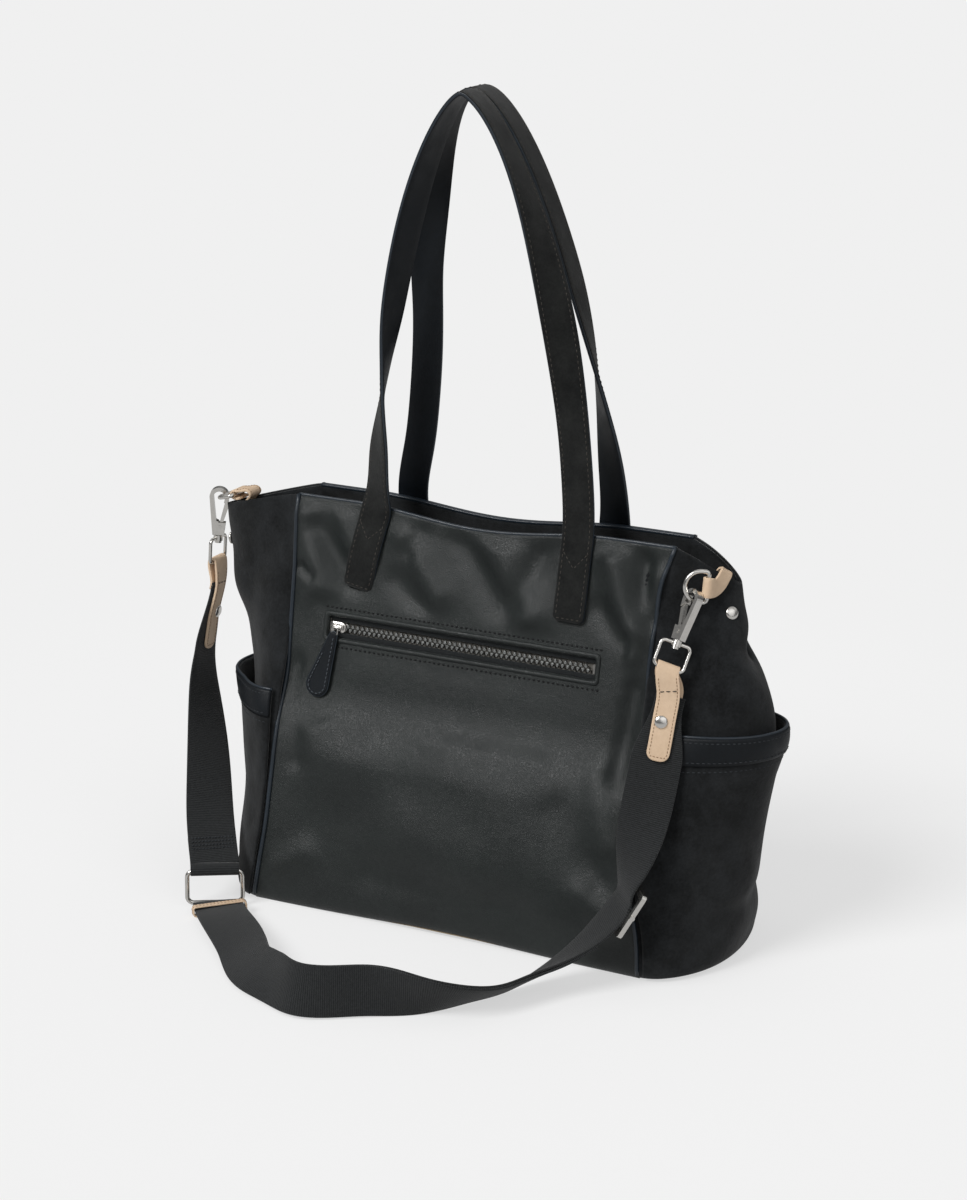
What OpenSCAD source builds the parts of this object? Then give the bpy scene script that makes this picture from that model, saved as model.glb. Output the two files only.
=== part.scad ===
// Tote-style diaper bag with two shoulder handles and a clip-on shoulder strap.
// Millimetres. Origin: centre of the base, on the floor. +X runs along the bag to the right,
// -Y faces the side with the zip pocket, +Z is up.

/* [Bag body] */
// Height of the rim above the floor
bag_h = 317; // [270:1:360]
// Width of the front and back panels at the base
base_w = 330; // [280:1:380]
// Width of the front and back panels at the rim
rim_w = 316; // [270:1:370]
// Depth between the outer faces of the panels at the base
base_d = 166; // [130:1:200]
// Depth between the outer faces of the panels at the rim
rim_d = 38; // [32:1:70]
// How far the middle of the rim sags
rim_sag = 8; // [2:1:14]
// Thickness of the leather and suede skins
skin_t = 2.2; // [1.6:0.1:3]
// Thickness of the base panel
base_t = 3; // [2:0.5:5]
// Thickness of the stiffener board inside the base
board_t = 2.5; // [2:0.5:4]
// Thickness of the lining
lining_t = 1; // [0.8:0.1:1.5]
// Height of the suede facing inside the rim
facing_h = 45; // [30:1:60]
// Radius of the raised seam edges
piping_r = 1.6; // [1:0.1:2.4]

/* [Left gusset] */
// Bulge of the left gusset past the panels at the base
left_swell_base = 34; // [20:1:50]
// Bulge of the left gusset at the middle of the pocket
left_swell_low = 35; // [20:1:50]
// Bulge of the left gusset at the pocket's mouth
left_swell_mid = 48; // [35:1:60]
// Bulge of the left gusset above the pocket
left_swell_high = 66; // [50:1:80]
// Reach of the left gusset at the rim
left_swell_rim = 75.5; // [60:0.5:95]
// Drop of the left gusset's rim at its middle
left_droop = 21; // [10:1:35]
// Height of the left pocket
left_pocket_h = 168; // [140:1:190]
// Gape of the left pocket's mouth
left_gape = 12; // [6:1:16]

/* [Right gusset] */
// Bulge of the right gusset past the panels at the base
right_swell_base = 48; // [30:1:60]
// Bulge of the right gusset at the middle of the pocket
right_swell_low = 57; // [40:1:70]
// Bulge of the right gusset at the pocket's mouth
right_swell_mid = 70; // [50:1:85]
// Bulge of the right gusset above the pocket
right_swell_high = 56; // [40:1:70]
// Reach of the right gusset at the rim
right_swell_rim = 42; // [30:1:60]
// Drop of the right gusset's rim at its middle
right_droop = 28; // [15:1:40]
// How far the right gusset's rim is folded towards the back
right_fold = 12; // [0:1:16]
// Height of the right pocket
right_pocket_h = 184; // [150:1:200]
// Gape of the right pocket's mouth
right_gape = 9; // [5:0.5:14]

/* [Side pockets] */
// Thickness of the pocket's suede
pocket_t = 1.8; // [1.4:0.1:2.4]
// Height of the leather band on the pocket's mouth
band_h = 20; // [14:1:28]
// Thickness of the leather band
band_t = 1.6; // [1.2:0.1:2.2]

/* [Front zip] */
// Length of the zip window in the front panel
zip_len = 226; // [180:1:250]
// Height of the zip window
zip_w = 16; // [13:0.5:22]
// Sideways place of the window's middle
zip_x = -8; // [-30:1:30]
// Height of the window's middle up the front panel
zip_v = 225; // [190:1:240]
// Width of the leather welt round the window
welt_w = 4; // [3:0.5:7]
// Thickness of the welt
welt_t = 1.2; // [0.8:0.1:2]
// Distance from tooth to tooth
tooth_pitch = 4.2; // [3:0.1:6]
// Length of one tooth across the zip
tooth_l = 3; // [2:0.1:4]
// Thickness of the teeth
tooth_t = 2.4; // [1.8:0.1:3]
// Length of the zip slider
slider_l = 13; // [10:0.5:16]
// Length of the leather zip pull
pull_l = 52; // [40:1:65]
// Greatest width of the leather zip pull
pull_w = 19; // [14:1:24]
// Depth of the pocket bag behind the zip
zip_bag_h = 130; // [90:1:150]

/* [Handles] */
// Width of the handle straps
handle_w = 25; // [20:1:35]
// Thickness of a handle's suede face
suede_t = 1.8; // [1.2:0.1:2.4]
// Thickness of a handle's leather backing
backing_t = 1.4; // [1:0.1:2]
// Rise of the handles above the rim
handle_rise = 317; // [220:1:360]
// Length of the sewn feet below the rim
foot_l = 66; // [45:1:90]
// Place of a front handle's left foot
front_left_x = -88; // [-110:1:-70]
// Place of a front handle's right foot
front_right_x = 81; // [65:1:105]
// Place of a back handle's left foot
back_left_x = -79; // [-105:1:-65]
// Place of a back handle's right foot
back_right_x = 92; // [70:1:110]
// Sideways place of the front handle's top
front_apex_x = -19; // [-40:1:10]
// Sideways place of the back handle's top
back_apex_x = -21; // [-40:1:10]

/* [Rings and clips] */
// Inside width of the D-rings, along the bar
d_ring_in = 20; // [17:1:26]
// Wire diameter of the D-rings
d_wire = 3.2; // [2.6:0.1:4]
// Thickness of the tan leather
tan_t = 2; // [1.4:0.1:2.6]
// Diameter of the domed rivets
rivet_d = 10.5; // [8:0.5:13]
// Height of the clip hook above its swivel
hook_h = 42; // [36:1:52]
// Outside width of the clip hook
hook_w = 15.5; // [13:0.5:20]
// Thickness of the clip hook
hook_t = 6; // [4.5:0.5:8]
// Width of the hook's bar
hook_bar = 3.2; // [2.6:0.1:4]
// Diameter of the clip's swivel post
post_d = 3.4; // [2.6:0.1:4.5]
// Inside width of the clip's swivel loop
loop_in = 20; // [17:0.5:26]
// Height of the clip's swivel loop
loop_h = 22; // [18:1:30]
// Wire diameter of the swivel loop
loop_wire = 2.8; // [2.2:0.1:3.5]

/* [Shoulder strap] */
// Width of the webbing
web_w = 38; // [30:1:40]
// Thickness of the webbing
web_t = 1.8; // [1.4:0.1:2.4]
// Width of the tan end tabs
tab_w = 17; // [14:1:19]
// Wire diameter of the rectangular ring
ring_wire = 3.6; // [3:0.1:4.5]
// Height of the rectangular ring
ring_h = 30; // [26:1:36]
// Wire diameter of the strap slider's frame
frame_wire = 3.6; // [3:0.1:4.5]
// Height of the strap slider's frame
frame_h = 38; // [30:1:44]
// Width of the tan keeper
keeper_w = 7; // [5:0.5:10]

/* [Hidden] */
$fn = 32;

LEFT = -1;
RIGHT = 1;
FRONT = -1;
BACK = 1;
fit_gap = 0.3;        // clear gap between soft layers and between moving pieces
run_gap = 0.05;       // radial clearance of a pin in its bore
cut = 1;              // how far a cutting solid runs past the face it cuts
turns = 12;           // facets round a gusset

// ---------- small maths ----------
function unit(v) = v / norm(v);
function clamp01(t) = min(1, max(0, t));
function smooth(t) = let (c = clamp01(t)) c * c * (3 - 2 * c);
function mix(a, b, t) = a + (b - a) * t;
function along(p, i) = unit(p[min(i + 1, len(p) - 1)] - p[max(i - 1, 0)]);
function across(p, w, i) = let (t = along(p, i)) unit(w[i] - t * (w[i] * t));
function facing(p, w, i) = cross(along(p, i), across(p, w, i));
function flip(v) = [v[0], -v[1], v[2]];
function turn_xy(a) = [cos(a), sin(a), 0];

// The two facets between corners a, b of one ring and c, d of the next. The far half of each ring
// is cut along the other diagonal, so that both faces of a thin sheet bend along the same lines.
function facets(a, b, c, d, far) = far ? [[a, c, b], [b, c, d]] : [[a, d, b], [a, c, d]];

// A closed skin through rings of equal length, each ring a loop of points
module rings_solid(rings, other = false) {
    n = len(rings[0]);
    m = len(rings);
    points = [for (ring = rings) each ring];
    sides = [for (i = [0:m - 2], j = [0:n - 1])
        let (a = i * n + j, b = i * n + (j + 1) % n)
        each facets(a, b, a + n, b + n, (j >= n / 2) != other)];
    first = [for (j = [1:n - 2]) [0, j, j + 1]];
    last = [for (j = [1:n - 2]) [(m - 1) * n, (m - 1) * n + j + 1, (m - 1) * n + j]];
    polyhedron(points, concat(sides, first, last));
}

// A loop of rings that closes on itself
module rings_loop(rings) {
    n = len(rings[0]);
    m = len(rings);
    points = [for (ring = rings) each ring];
    sides = [for (i = [0:m - 1], j = [0:n - 1])
        let (k = (i + 1) % m, b = (j + 1) % n)
        each facets(i * n + j, i * n + b, k * n + j, k * n + b, j >= n / 2)];
    polyhedron(points, sides);
}

// Flat strap along p, its width along w: corner ring at point i, between heights lo and hi above p
function strap_ring_at(p, w, i, width, lo, hi) =
    let (a = across(p, w, i) * width / 2, f = facing(p, w, i))
    [p[i] - a + f * lo, p[i] + a + f * lo, p[i] + a + f * hi, p[i] - a + f * hi];
module flat_strap(p, w, width, lo, hi) {
    rings_solid([for (i = [0:len(p) - 1]) strap_ring_at(p, w, i, width, lo, hi)]);
}
// The same with its near face at height low[i] above point i
module lifted_strap(p, w, width, low, t) {
    rings_solid([for (i = [0:len(p) - 1]) strap_ring_at(p, w, i, width, low[i], low[i] + t)]);
}

// Round wire along p, closed into a loop when shut is true
module wire(p, r, shut = false, sides = 8) {
    n = len(p);
    rings = [for (i = [0:n - 1])
        let (before = shut ? p[(i + n - 1) % n] : p[max(i - 1, 0)],
             after = shut ? p[(i + 1) % n] : p[min(i + 1, n - 1)],
             t = unit(after - before),
             u = unit(cross(t, [0, 0, 1])), v = cross(t, u))
        [for (k = [0:sides - 1]) p[i] + r * (u * cos(360 * k / sides) - v * sin(360 * k / sides))]];
    if (shut) rings_loop(rings);
    else rings_solid(rings);
}

// ---------- shape of the bag ----------
lean = atan((base_d - rim_d) / 2 / bag_h);
panel_l = bag_h / cos(lean);
foot_v = (base_t + skin_t * sin(lean)) / cos(lean);
function half_w(z) = mix(base_w, rim_w, z / bag_h) / 2;
function half_d(z) = mix(base_d, rim_d, z / bag_h) / 2;

// heights at which the bulge of each gusset is given, as shares of the rim's height
swell_at = [0, 0.30, 0.60, 0.80, 1];
left_swell = [left_swell_base, left_swell_low, left_swell_mid, left_swell_high, left_swell_rim];
right_swell = [right_swell_base, right_swell_low, right_swell_mid, right_swell_high, right_swell_rim];
function swell(side, z) = lookup(z / bag_h,
    [for (i = [0:4]) [swell_at[i], side == LEFT ? left_swell[i] : right_swell[i]]]);
function droop(side) = side == LEFT ? left_droop : right_droop;
function fold(side) = side == LEFT ? 0 : right_fold;
pinch_from = 0.62;    // share of the height above which the gussets fold into a V
function pinch(z) = mix(1, 1.7, smooth((z / bag_h - pinch_from) / (1 - pinch_from)));
droop_from = 0.70;    // share of the height above which the rim's droop begins

function rim_share(z) = smooth((z / bag_h - droop_from) / (1 - droop_from));

// Point on a gusset at angle a from the front seam (0) to the back seam (180), moved out by o
function gusset_curve(side, z, a, o) =
    [side * (half_w(z) + (swell(side, z) + o) * pow(sin(a), pinch(z))),
     -(half_d(z) + o) * cos(a) + fold(side) * pow(sin(a), 2) * rim_share(z),
     z - droop(side) * pow(sin(a), 2) * rim_share(z)];
step_a = 180 / turns; // angle between the corners of a gusset's facets
function gusset_point(side, z, a, o = 0) = let (k = min(turns - 1, floor(a / step_a)))
    mix(gusset_curve(side, z, k * step_a, o), gusset_curve(side, z, (k + 1) * step_a, o), a / step_a - k);

sag_half = 110;       // half of the length over which the rim sags
function sag(x) = abs(x) > sag_half ? 0 : rim_sag * (1 + cos(180 * x / sag_half)) / 2;
function sag_at(x, z) = sag(x) * rim_share(z);

module on_front() {
    translate([0, -base_d / 2, 0]) rotate([90 - lean, 0, 0]) children();
}
module on_back() {
    mirror([0, 1, 0]) on_front() children();
}

// ---------- body ----------
module panel_outline() {
    polygon([
        [-half_w(base_t), foot_v], [half_w(base_t), foot_v],
        for (k = [0:24]) let (x = mix(rim_w / 2, -rim_w / 2, k / 24)) [x, panel_l - sag(x)]
    ]);
}
module panel() {
    translate([0, 0, -skin_t]) linear_extrude(skin_t) panel_outline();
}
module zip_window(extra = 0) {
    translate([zip_x - zip_len / 2 - extra, zip_v - zip_w / 2 - extra])
        square([zip_len + 2 * extra, zip_w + 2 * extra]);
}
module front_panel() color("#3c4142") on_front() difference() {
    panel();
    translate([0, 0, -skin_t - cut]) linear_extrude(skin_t + 2 * cut) zip_window();
}
module back_panel() color("#3c4142") on_back() panel();

// Heights of a wall's rows: its ends, the heights where the bulge is given, and those asked for
wall_rows = [0.15, 0.30, 0.45, 0.60, 0.70, 0.80, 0.87, 0.93];
function rows_to(bottom, top, more = []) = concat([bottom],
    [for (s = wall_rows) if (s * bag_h > bottom + 1 && s * bag_h < top - band_h - 1) s * bag_h], more, [top]);
function wall_open(z, bottom, top, a) = pow((z - bottom) / (top - bottom), 1.5) * sin(a);

// Wall that follows a gusset through the given angles and heights, between two offsets that
// may each open towards the top
module gusset_wall(side, angles, heights, inner, outer) {
    bottom = heights[0];
    top = heights[len(heights) - 1];
    m = len(heights);
    rings = [for (a = angles) concat(
        [for (z = heights) gusset_point(side, z, a, outer[0] + (outer[1] - outer[0]) * wall_open(z, bottom, top, a))],
        [for (r = [m - 1:-1:0]) let (z = heights[r])
            gusset_point(side, z, a, inner[0] + (inner[1] - inner[0]) * wall_open(z, bottom, top, a))])];
    strip_solid(side == RIGHT ? rings : [for (k = [len(rings) - 1:-1:0]) rings[k]]);
}

// Like rings_solid, for thin C-shaped rings: each end is closed between its two sides
module strip_solid(rings) {
    n = len(rings[0]);
    h = n / 2;
    m = len(rings);
    points = [for (ring = rings) each ring];
    sides = [for (i = [0:m - 2], j = [0:n - 1])
        let (a = i * n + j, b = i * n + (j + 1) % n)
        each facets(a, b, a + n, b + n, j >= n / 2)];
    first = [for (j = [0:h - 2]) each [[j, j + 1, n - 1 - j], [j + 1, n - 2 - j, n - 1 - j]]];
    e = (m - 1) * n;
    last = [for (j = [0:h - 2]) each [[e + j, e + n - 1 - j, e + j + 1], [e + j + 1, e + n - 1 - j, e + n - 2 - j]]];
    polyhedron(points, concat(sides, first, last));
}
gusset_angles = [for (k = [0:turns]) k * step_a];
gusset_rows = concat([base_t], [for (s = wall_rows) s * bag_h], [bag_h]);
module left_gusset() color("#26282a") difference() {
    gusset_wall(LEFT, gusset_angles, gusset_rows, [-skin_t, -skin_t], [0, 0]);
    left_ring_rivet(true);
}
module right_gusset() color("#26282a") difference() {
    gusset_wall(RIGHT, gusset_angles, gusset_rows, [-skin_t, -skin_t], [0, 0]);
    right_ring_rivet(true);
}

// Outline of the bag at height z, pulled in by o and by front_in more at the front
function loop_at(z, o, front_in = 0, steps = 8) = concat(
    [for (k = [0:steps]) let (x = mix(-half_w(z), half_w(z), k / steps))
        [x, -(half_d(z) - o - front_in), z - sag_at(x, z)]],
    [for (k = [1:turns - 1]) gusset_point(RIGHT, z, k * step_a, -o) + front_shift(k, front_in)],
    [for (k = [0:steps]) let (x = mix(half_w(z), -half_w(z), k / steps))
        [x, half_d(z) - o, z - sag_at(x, z)]],
    [for (k = [turns - 1:-1:1]) gusset_point(LEFT, z, k * step_a, -o) + front_shift(k, front_in)]);
function front_shift(k, front_in) = [0, front_in * max(0, cos(k * step_a)), 0];

module base_outline(o) {
    polygon([for (p = loop_at(base_t, o)) [p[0], p[1]]]);
}
module base_panel() color("#232527") linear_extrude(base_t) base_outline(0);
module base_board() color("#8a7a60") translate([0, 0, base_t]) linear_extrude(board_t)
    base_outline(skin_t + fit_gap + lining_t);

// Open ring or bag between two loops; with a floor when floor_t is above 0
module loop_wall(heights, outer, inner, front_in) {
    o_loops = [for (z = heights) loop_at(z, outer, front_in)];
    i_loops = [for (z = heights) loop_at(z, inner, front_in)];
    n = len(o_loops[0]);
    m = len(heights);
    columns = [for (j = [0:n - 1]) concat(
        [for (r = [0:m - 1]) o_loops[r][j]], [for (r = [m - 1:-1:0]) i_loops[r][j]])];
    rings_loop([for (j = [0:n - 1]) columns[j]]);
}
lining_in = skin_t + fit_gap;
front_room = 6;       // room between the front panel and the lining for the zip's pocket bag
facing_foot = bag_h - facing_h;
lining_foot = base_t + board_t;
// The same loop, begun at the middle of the right gusset
function from_side(p) = [for (j = [0:len(p) - 1]) p[(j + 14) % len(p)]];
module lining() color("#6d6a66") {
    heights = concat([lining_foot], [for (s = wall_rows) if (s * bag_h < facing_foot - 1) s * bag_h], [facing_foot]);
    rings_solid(concat([for (z = heights) from_side(loop_at(z, lining_in, front_room))],
        [for (r = [len(heights) - 1:-1:0]) let (z = heights[r] + (r == 0 ? lining_t : 0))
            from_side(loop_at(z, lining_in + lining_t, front_room))]));
}
facing_t = 1.6;       // thickness of the rim facing
facing_in = skin_t / cos(lean);
module rim_facing() color("#26282a") difference() {
    loop_wall(concat([facing_foot], [for (s = [0.87, 0.93]) s * bag_h], [bag_h - 1]),
        facing_in, facing_in + facing_t, 0);
    left_ring_rivet(true);
    right_ring_rivet(true);
}

// Raised edges along the side seams of a panel
function seam_line(side, face, from_z, to_z, n = 6) = [for (k = [0:n])
    let (z = mix(from_z, to_z, k / n)) [side * half_w(z), face * (half_d(z) + piping_r), z]];
module seam_piping(face) {
    for (side = [LEFT, RIGHT])
        wire(seam_line(side, face, base_t + piping_r, bag_h - piping_r), piping_r, sides = 6);
}
module front_piping() color("#46525c") seam_piping(FRONT);
module back_piping() color("#46525c") seam_piping(BACK);

// Painted edge that caps the rim of both panels
binding_h = 2;        // height of the rim binding
module rim_strip() {
    translate([0, 0, -skin_t - facing_t]) linear_extrude(skin_t + facing_t) polygon(concat(
        [for (k = [0:24]) let (x = mix(-rim_w / 2, rim_w / 2, k / 24)) [x, panel_l - sag(x)]],
        [for (k = [24:-1:0]) let (x = mix(-rim_w / 2, rim_w / 2, k / 24)) [x, panel_l - sag(x) + binding_h]]));
}
module rim_binding() color("#46525c") {
    on_front() rim_strip();
    on_back() rim_strip();
}

// ---------- side pockets ----------
seam_a = 7;           // angle at which a pocket starts, just off the seam
function pocket_h(side) = side == LEFT ? left_pocket_h : right_pocket_h;
function gape(side) = side == LEFT ? left_gape : right_gape;
pocket_angles = concat([seam_a], [for (k = [1:turns - 1]) k * step_a], [180 - seam_a]);
module pocket(side) {
    top = pocket_h(side);
    gusset_wall(side, pocket_angles, rows_to(base_t, top, [top - band_h]),
        [fit_gap, fit_gap + gape(side)], [fit_gap + pocket_t, fit_gap + gape(side) + pocket_t]);
}
function pocket_face(side, z, a, o) =
    gusset_point(side, z, a, fit_gap + pocket_t + gape(side) * wall_open(z, base_t, pocket_h(side), a) + o);
band_gap = 0.03;      // gap between a pocket's band and its suede
module pocket_band(side) {
    top = pocket_h(side);
    corners = [[top - band_h, 0], [top, 0], [top, band_t], [top - band_h, band_t]];
    rings = [for (a = pocket_angles) [for (c = corners) pocket_face(side, c[0], a, c[1] + band_gap)]];
    rings_solid(side == RIGHT ? [for (k = [len(rings) - 1:-1:0]) rings[k]] : rings, true);
}
module left_pocket() color("#232527") pocket(LEFT);
module right_pocket() color("#232527") pocket(RIGHT);
module left_pocket_band() color("#3a4249") pocket_band(LEFT);
module right_pocket_band() color("#3a4249") pocket_band(RIGHT);

// ---------- front zip, drawn flat on the panel: x to the right, y up the slope, z outward ----------
tape_t = 0.8;         // thickness of the zip tape
channel = 1.3;        // gap between the two rows of teeth, for the slider's neck
stop_l = 1.5;         // length of the zip's end stops
tape_wide = zip_w / 2 + 5;
zip_l = zip_x - zip_len / 2;
zip_r = zip_x + zip_len / 2;
tape_n = -skin_t - tape_t / 2;
plate_t = 1.3;        // thickness of the slider's plates
top_n = tape_n + tooth_t / 2 + fit_gap / 2;
slider_x = zip_l + stop_l + slider_l / 2;
zip_travel = zip_len - slider_l - 2 * stop_l - fit_gap;
module zip_welt() color("#454c50") on_front() linear_extrude(welt_t) difference() {
    offset(r = 2) zip_window(welt_w - 2);
    zip_window();
}
module zip_tapes() color("#1c1e20") on_front() translate([0, 0, -skin_t - tape_t]) linear_extrude(tape_t) {
    for (s = [-1, 1]) translate([zip_l - 4, zip_v + (s > 0 ? channel / 2 + tooth_l : -tape_wide)])
        square([zip_len + 8, tape_wide - channel / 2 - tooth_l]);
}
module teeth(s) {
    count = floor((zip_len - 2 * stop_l - 1) / tooth_pitch);
    on_front() translate([0, 0, tape_n - tooth_t / 2]) linear_extrude(tooth_t)
        for (k = [0:count - 1])
            translate([zip_l + stop_l + 0.8 + k * tooth_pitch + (s > 0 ? 0 : tooth_pitch / 2),
                zip_v + (s > 0 ? channel / 2 : -channel / 2 - tooth_l)])
                square([0.55 * tooth_pitch, tooth_l]);
}
module zip_teeth_upper() color("#5a6064") teeth(1);
module zip_teeth_lower() color("#5a6064") teeth(-1);
module zip_stops() color("#b9bcbd") on_front() translate([0, 0, tape_n - tooth_t / 2]) linear_extrude(tooth_t)
    for (x = [zip_l + 0.65, zip_r - stop_l - 0.65])
        translate([x, zip_v - channel / 2 - tooth_l]) square([stop_l, channel + 2 * tooth_l]);
bag_wall = 0.7;       // thickness of the zip pocket's fabric
bag_back = -skin_t - tape_t - 5;
module zip_pocket_bag() color("#4a4845") on_front() difference() {
    translate([zip_l - 4, zip_v - zip_bag_h, bag_back])
        cube([zip_len + 8, zip_bag_h + tape_wide, 5]);
    translate([zip_l - 4 + bag_wall, zip_v - zip_bag_h + bag_wall, bag_back + bag_wall])
        cube([zip_len + 8 - 2 * bag_wall, zip_bag_h + tape_wide - 2 * bag_wall, 5 - 2 * bag_wall]);
    translate([0, 0, bag_back + 5 - bag_wall - cut]) linear_extrude(bag_wall + 2 * cut) zip_window(-0.5);
}
slider_w = 9.6;       // width of the slider's plates
bail_d = 1.4;         // wire of the bail that holds the pull
bail_n = top_n + plate_t + 2.9;
module zip_slider() color("#c8cacb") on_front() translate([slider_x, zip_v, 0]) {
    translate([0, 0, top_n]) linear_extrude(plate_t) slider_outline();
    translate([0, 0, tape_n - tooth_t / 2 - fit_gap / 2 - plate_t]) linear_extrude(plate_t) slider_outline();
    translate([-slider_l / 2 + 1, -0.4, tape_n - tooth_t / 2 - fit_gap])
        cube([3, 0.8, tooth_t + 2 * fit_gap]);
    translate([-3.2, 0, bail_n]) rotate([0, 90, 0]) cylinder(h = 6.4, d = bail_d);
    for (x = [-3.2, 2]) translate([x, -bail_d / 2, top_n + plate_t - 0.1])
        cube([1.2, bail_d, bail_n - top_n - plate_t + bail_d / 2 - 0.2]);
}
module slider_outline() {
    offset(r = 1.5) square([slider_l - 3, slider_w - 3], center = true);
}
pull_tilt = -6;       // sideways lean of the hanging pull
pull_t = 2.6;         // thickness of the leather pull
link_l = 10;          // length of the metal link, bail to leather
module on_pull() {
    on_front() translate([slider_x, zip_v, bail_n]) rotate([0, 0, pull_tilt]) children();
}
module zip_pull_link() color("#c8cacb") on_pull() difference() {
    union() {
        rotate([0, 90, 0]) cylinder(h = 3.4, d = bail_d + 2.2, center = true);
        translate([-1.7, -link_l - 1.5, -0.5]) cube([3.4, link_l + 1.5, 1]);
        translate([0, -link_l, -0.5]) cylinder(h = 1, d = 6);
    }
    rotate([0, 0, -pull_tilt]) rotate([0, 90, 0]) cylinder(h = 8, d = bail_d + 2 * run_gap, center = true);
    translate([0, -link_l, -cut]) cylinder(h = 2 + cut, d = 3);
}
module pull_shape() {
    hull() {
        translate([0, -7]) circle(d = 7);
        translate([0, 8 - pull_l - link_l / 2 + pull_w / 2 - 8]) circle(d = pull_w);
    }
}
module zip_pull_tab() color("#33383b") on_pull() difference() {
    translate([0, 0, -pull_t / 2]) linear_extrude(pull_t) pull_shape();
    translate([-3.6, -link_l - 3.6, -0.5 - run_gap]) cube([7.2, link_l + 6, 1 + 2 * run_gap]);
}

// ---------- handles ----------
handle_t = suede_t + backing_t;
rim_gap = 3.4;        // gap between the sewn feet and the turning part of a handle
handle_y = rim_d / 2 + handle_t / 2 + 0.6;
apex_y = 13;          // distance of a handle's top from the bag's middle
// Each leg: foot place, two numbers for its curve, turn begins, turn ends, extra turn, sideways belly
front_legs = [[front_left_x, 2.0, 0.65, -0.15, 0.50, 22, 0], [front_right_x, 1.6, 0.65, 0.20, 0.95, 0, 0]];
back_legs = [[back_left_x, 1.5, 0.40, 0.45, 1.00, 0, 8], [back_right_x, 1.4, 0.62, -0.10, 0.60, 0, 0]];
function leg_point(g, apex, f) = [
    apex + (g[0] - apex) * pow(1 - pow(f, g[1]), g[2]) + g[6] * sin(180 * min(1, f / 0.6)),
    -mix(handle_y, apex_y, f),
    bag_h + rim_gap + handle_rise * f];
function leg_turn(g, f) = 90 * smooth((f - g[3]) / (g[4] - g[3])) + g[5] * sin(180 * clamp01((f - 0.35) / 0.65));
rise_steps = [for (k = [0:13]) sin(90 * k / 13)];
function arch_path(legs, apex) = concat(
    [for (k = [0:13]) leg_point(legs[0], apex, rise_steps[k])],
    [for (k = [12:-1:0]) leg_point(legs[1], apex, rise_steps[k])]);
function arch_wide(legs) = concat(
    [for (k = [0:13]) turn_xy(180 - leg_turn(legs[0], rise_steps[k]))],
    [for (k = [12:-1:0]) turn_xy(leg_turn(legs[1], rise_steps[k]))]);
module front_arch(lo, hi) flat_strap(arch_path(front_legs, front_apex_x), arch_wide(front_legs), handle_w, lo, hi);
module back_arch(lo, hi) mirror([0, 1, 0])
    flat_strap(arch_path(back_legs, back_apex_x), arch_wide(back_legs), handle_w, lo, hi);
module front_handle_suede() color("#2b2d30") front_arch(handle_t / 2 - suede_t, handle_t / 2);
module front_handle_backing() color("#24272a") front_arch(-handle_t / 2, -handle_t / 2 + backing_t);
module back_handle_suede() color("#2b2d30") back_arch(handle_t / 2 - suede_t, handle_t / 2);
module back_handle_backing() color("#24272a") back_arch(-handle_t / 2, -handle_t / 2 + backing_t);

// Sewn feet: [place at the rim, sideways shift at the lower end]
front_feet = [[front_left_x, -12], [front_right_x, -1]];
back_feet = [[back_left_x, 0], [back_right_x, 0]];
module feet(list, lo, hi) {
    for (f = list) translate([0, 0, lo]) linear_extrude(hi - lo) polygon([
        [f[0] - handle_w / 2, panel_l - sag(f[0])], [f[0] + f[1] - handle_w / 2, panel_l - foot_l],
        [f[0] + f[1] + handle_w / 2, panel_l - foot_l], [f[0] + handle_w / 2, panel_l - sag(f[0])]]);
}
module front_handle_feet() color("#2b2d30") on_front() feet(front_feet, backing_t, handle_t);
module front_handle_feet_backing() color("#24272a") on_front() feet(front_feet, 0, backing_t);
module back_handle_feet() color("#2b2d30") on_back() feet(back_feet, backing_t, handle_t);
module back_handle_feet_backing() color("#24272a") on_back() feet(back_feet, 0, backing_t);

// ---------- rings on the rim ----------
// A frame placed at point o with its x axis along u and its z axis along w
module place(o, u, w) {
    v = cross(w, u);
    multmatrix([[u[0], v[0], w[0], o[0]], [u[1], v[1], w[1], o[1]], [u[2], v[2], w[2], o[2]], [0, 0, 0, 1]])
        children();
}
d_deep = 17;          // distance from a D-ring's bar to its bow, wire centre to wire centre
d_half = (d_ring_in + d_wire) / 2;
// The clips, their rings and tabs hang from the rim at its ends
left_hang = [-half_w(bag_h - 26), 0, bag_h];
right_hang = [half_w(bag_h - 26), 0, bag_h];
left_bar = left_hang + [-65.5259, 1, -11.9];
left_bow = unit([-0.954, 0, -0.3]);
left_axis = [0, 1, 0];
right_bar = right_hang + [26.6059, -20.74, -25.81];
right_bow = unit([-0.86, -0.5, 0.09]);
right_axis = unit(cross(cross([0, 0.1, 1], right_bow), right_bow) * -1);
d_corner = 3;         // corner radius of a D-ring
// D-ring in its own frame: bar along y at x = 0, bow towards x
module d_ring() {
    rotate([90, 0, 0]) cylinder(h = 2 * (d_half - d_corner), d = d_wire, center = true);
    for (s = [0, 1]) mirror([0, s, 0]) {
        translate([d_corner, d_half - d_corner, 0]) rotate([0, 0, 90]) rotate_extrude(angle = 90)
            translate([d_corner, 0]) circle(d = d_wire);
        translate([d_corner, d_half, 0]) rotate([0, 90, 0]) cylinder(h = d_deep - d_half - d_corner, d = d_wire);
        translate([d_deep - d_half, 0, 0]) rotate_extrude(angle = 90) translate([d_half, 0]) circle(d = d_wire);
    }
}
module left_d_ring() color("#d4d6d7") place(left_bar, left_bow, cross(left_bow, left_axis)) d_ring();
module right_d_ring() color("#d4d6d7") place(right_bar, right_bow, cross(right_bow, right_axis)) d_ring();

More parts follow.
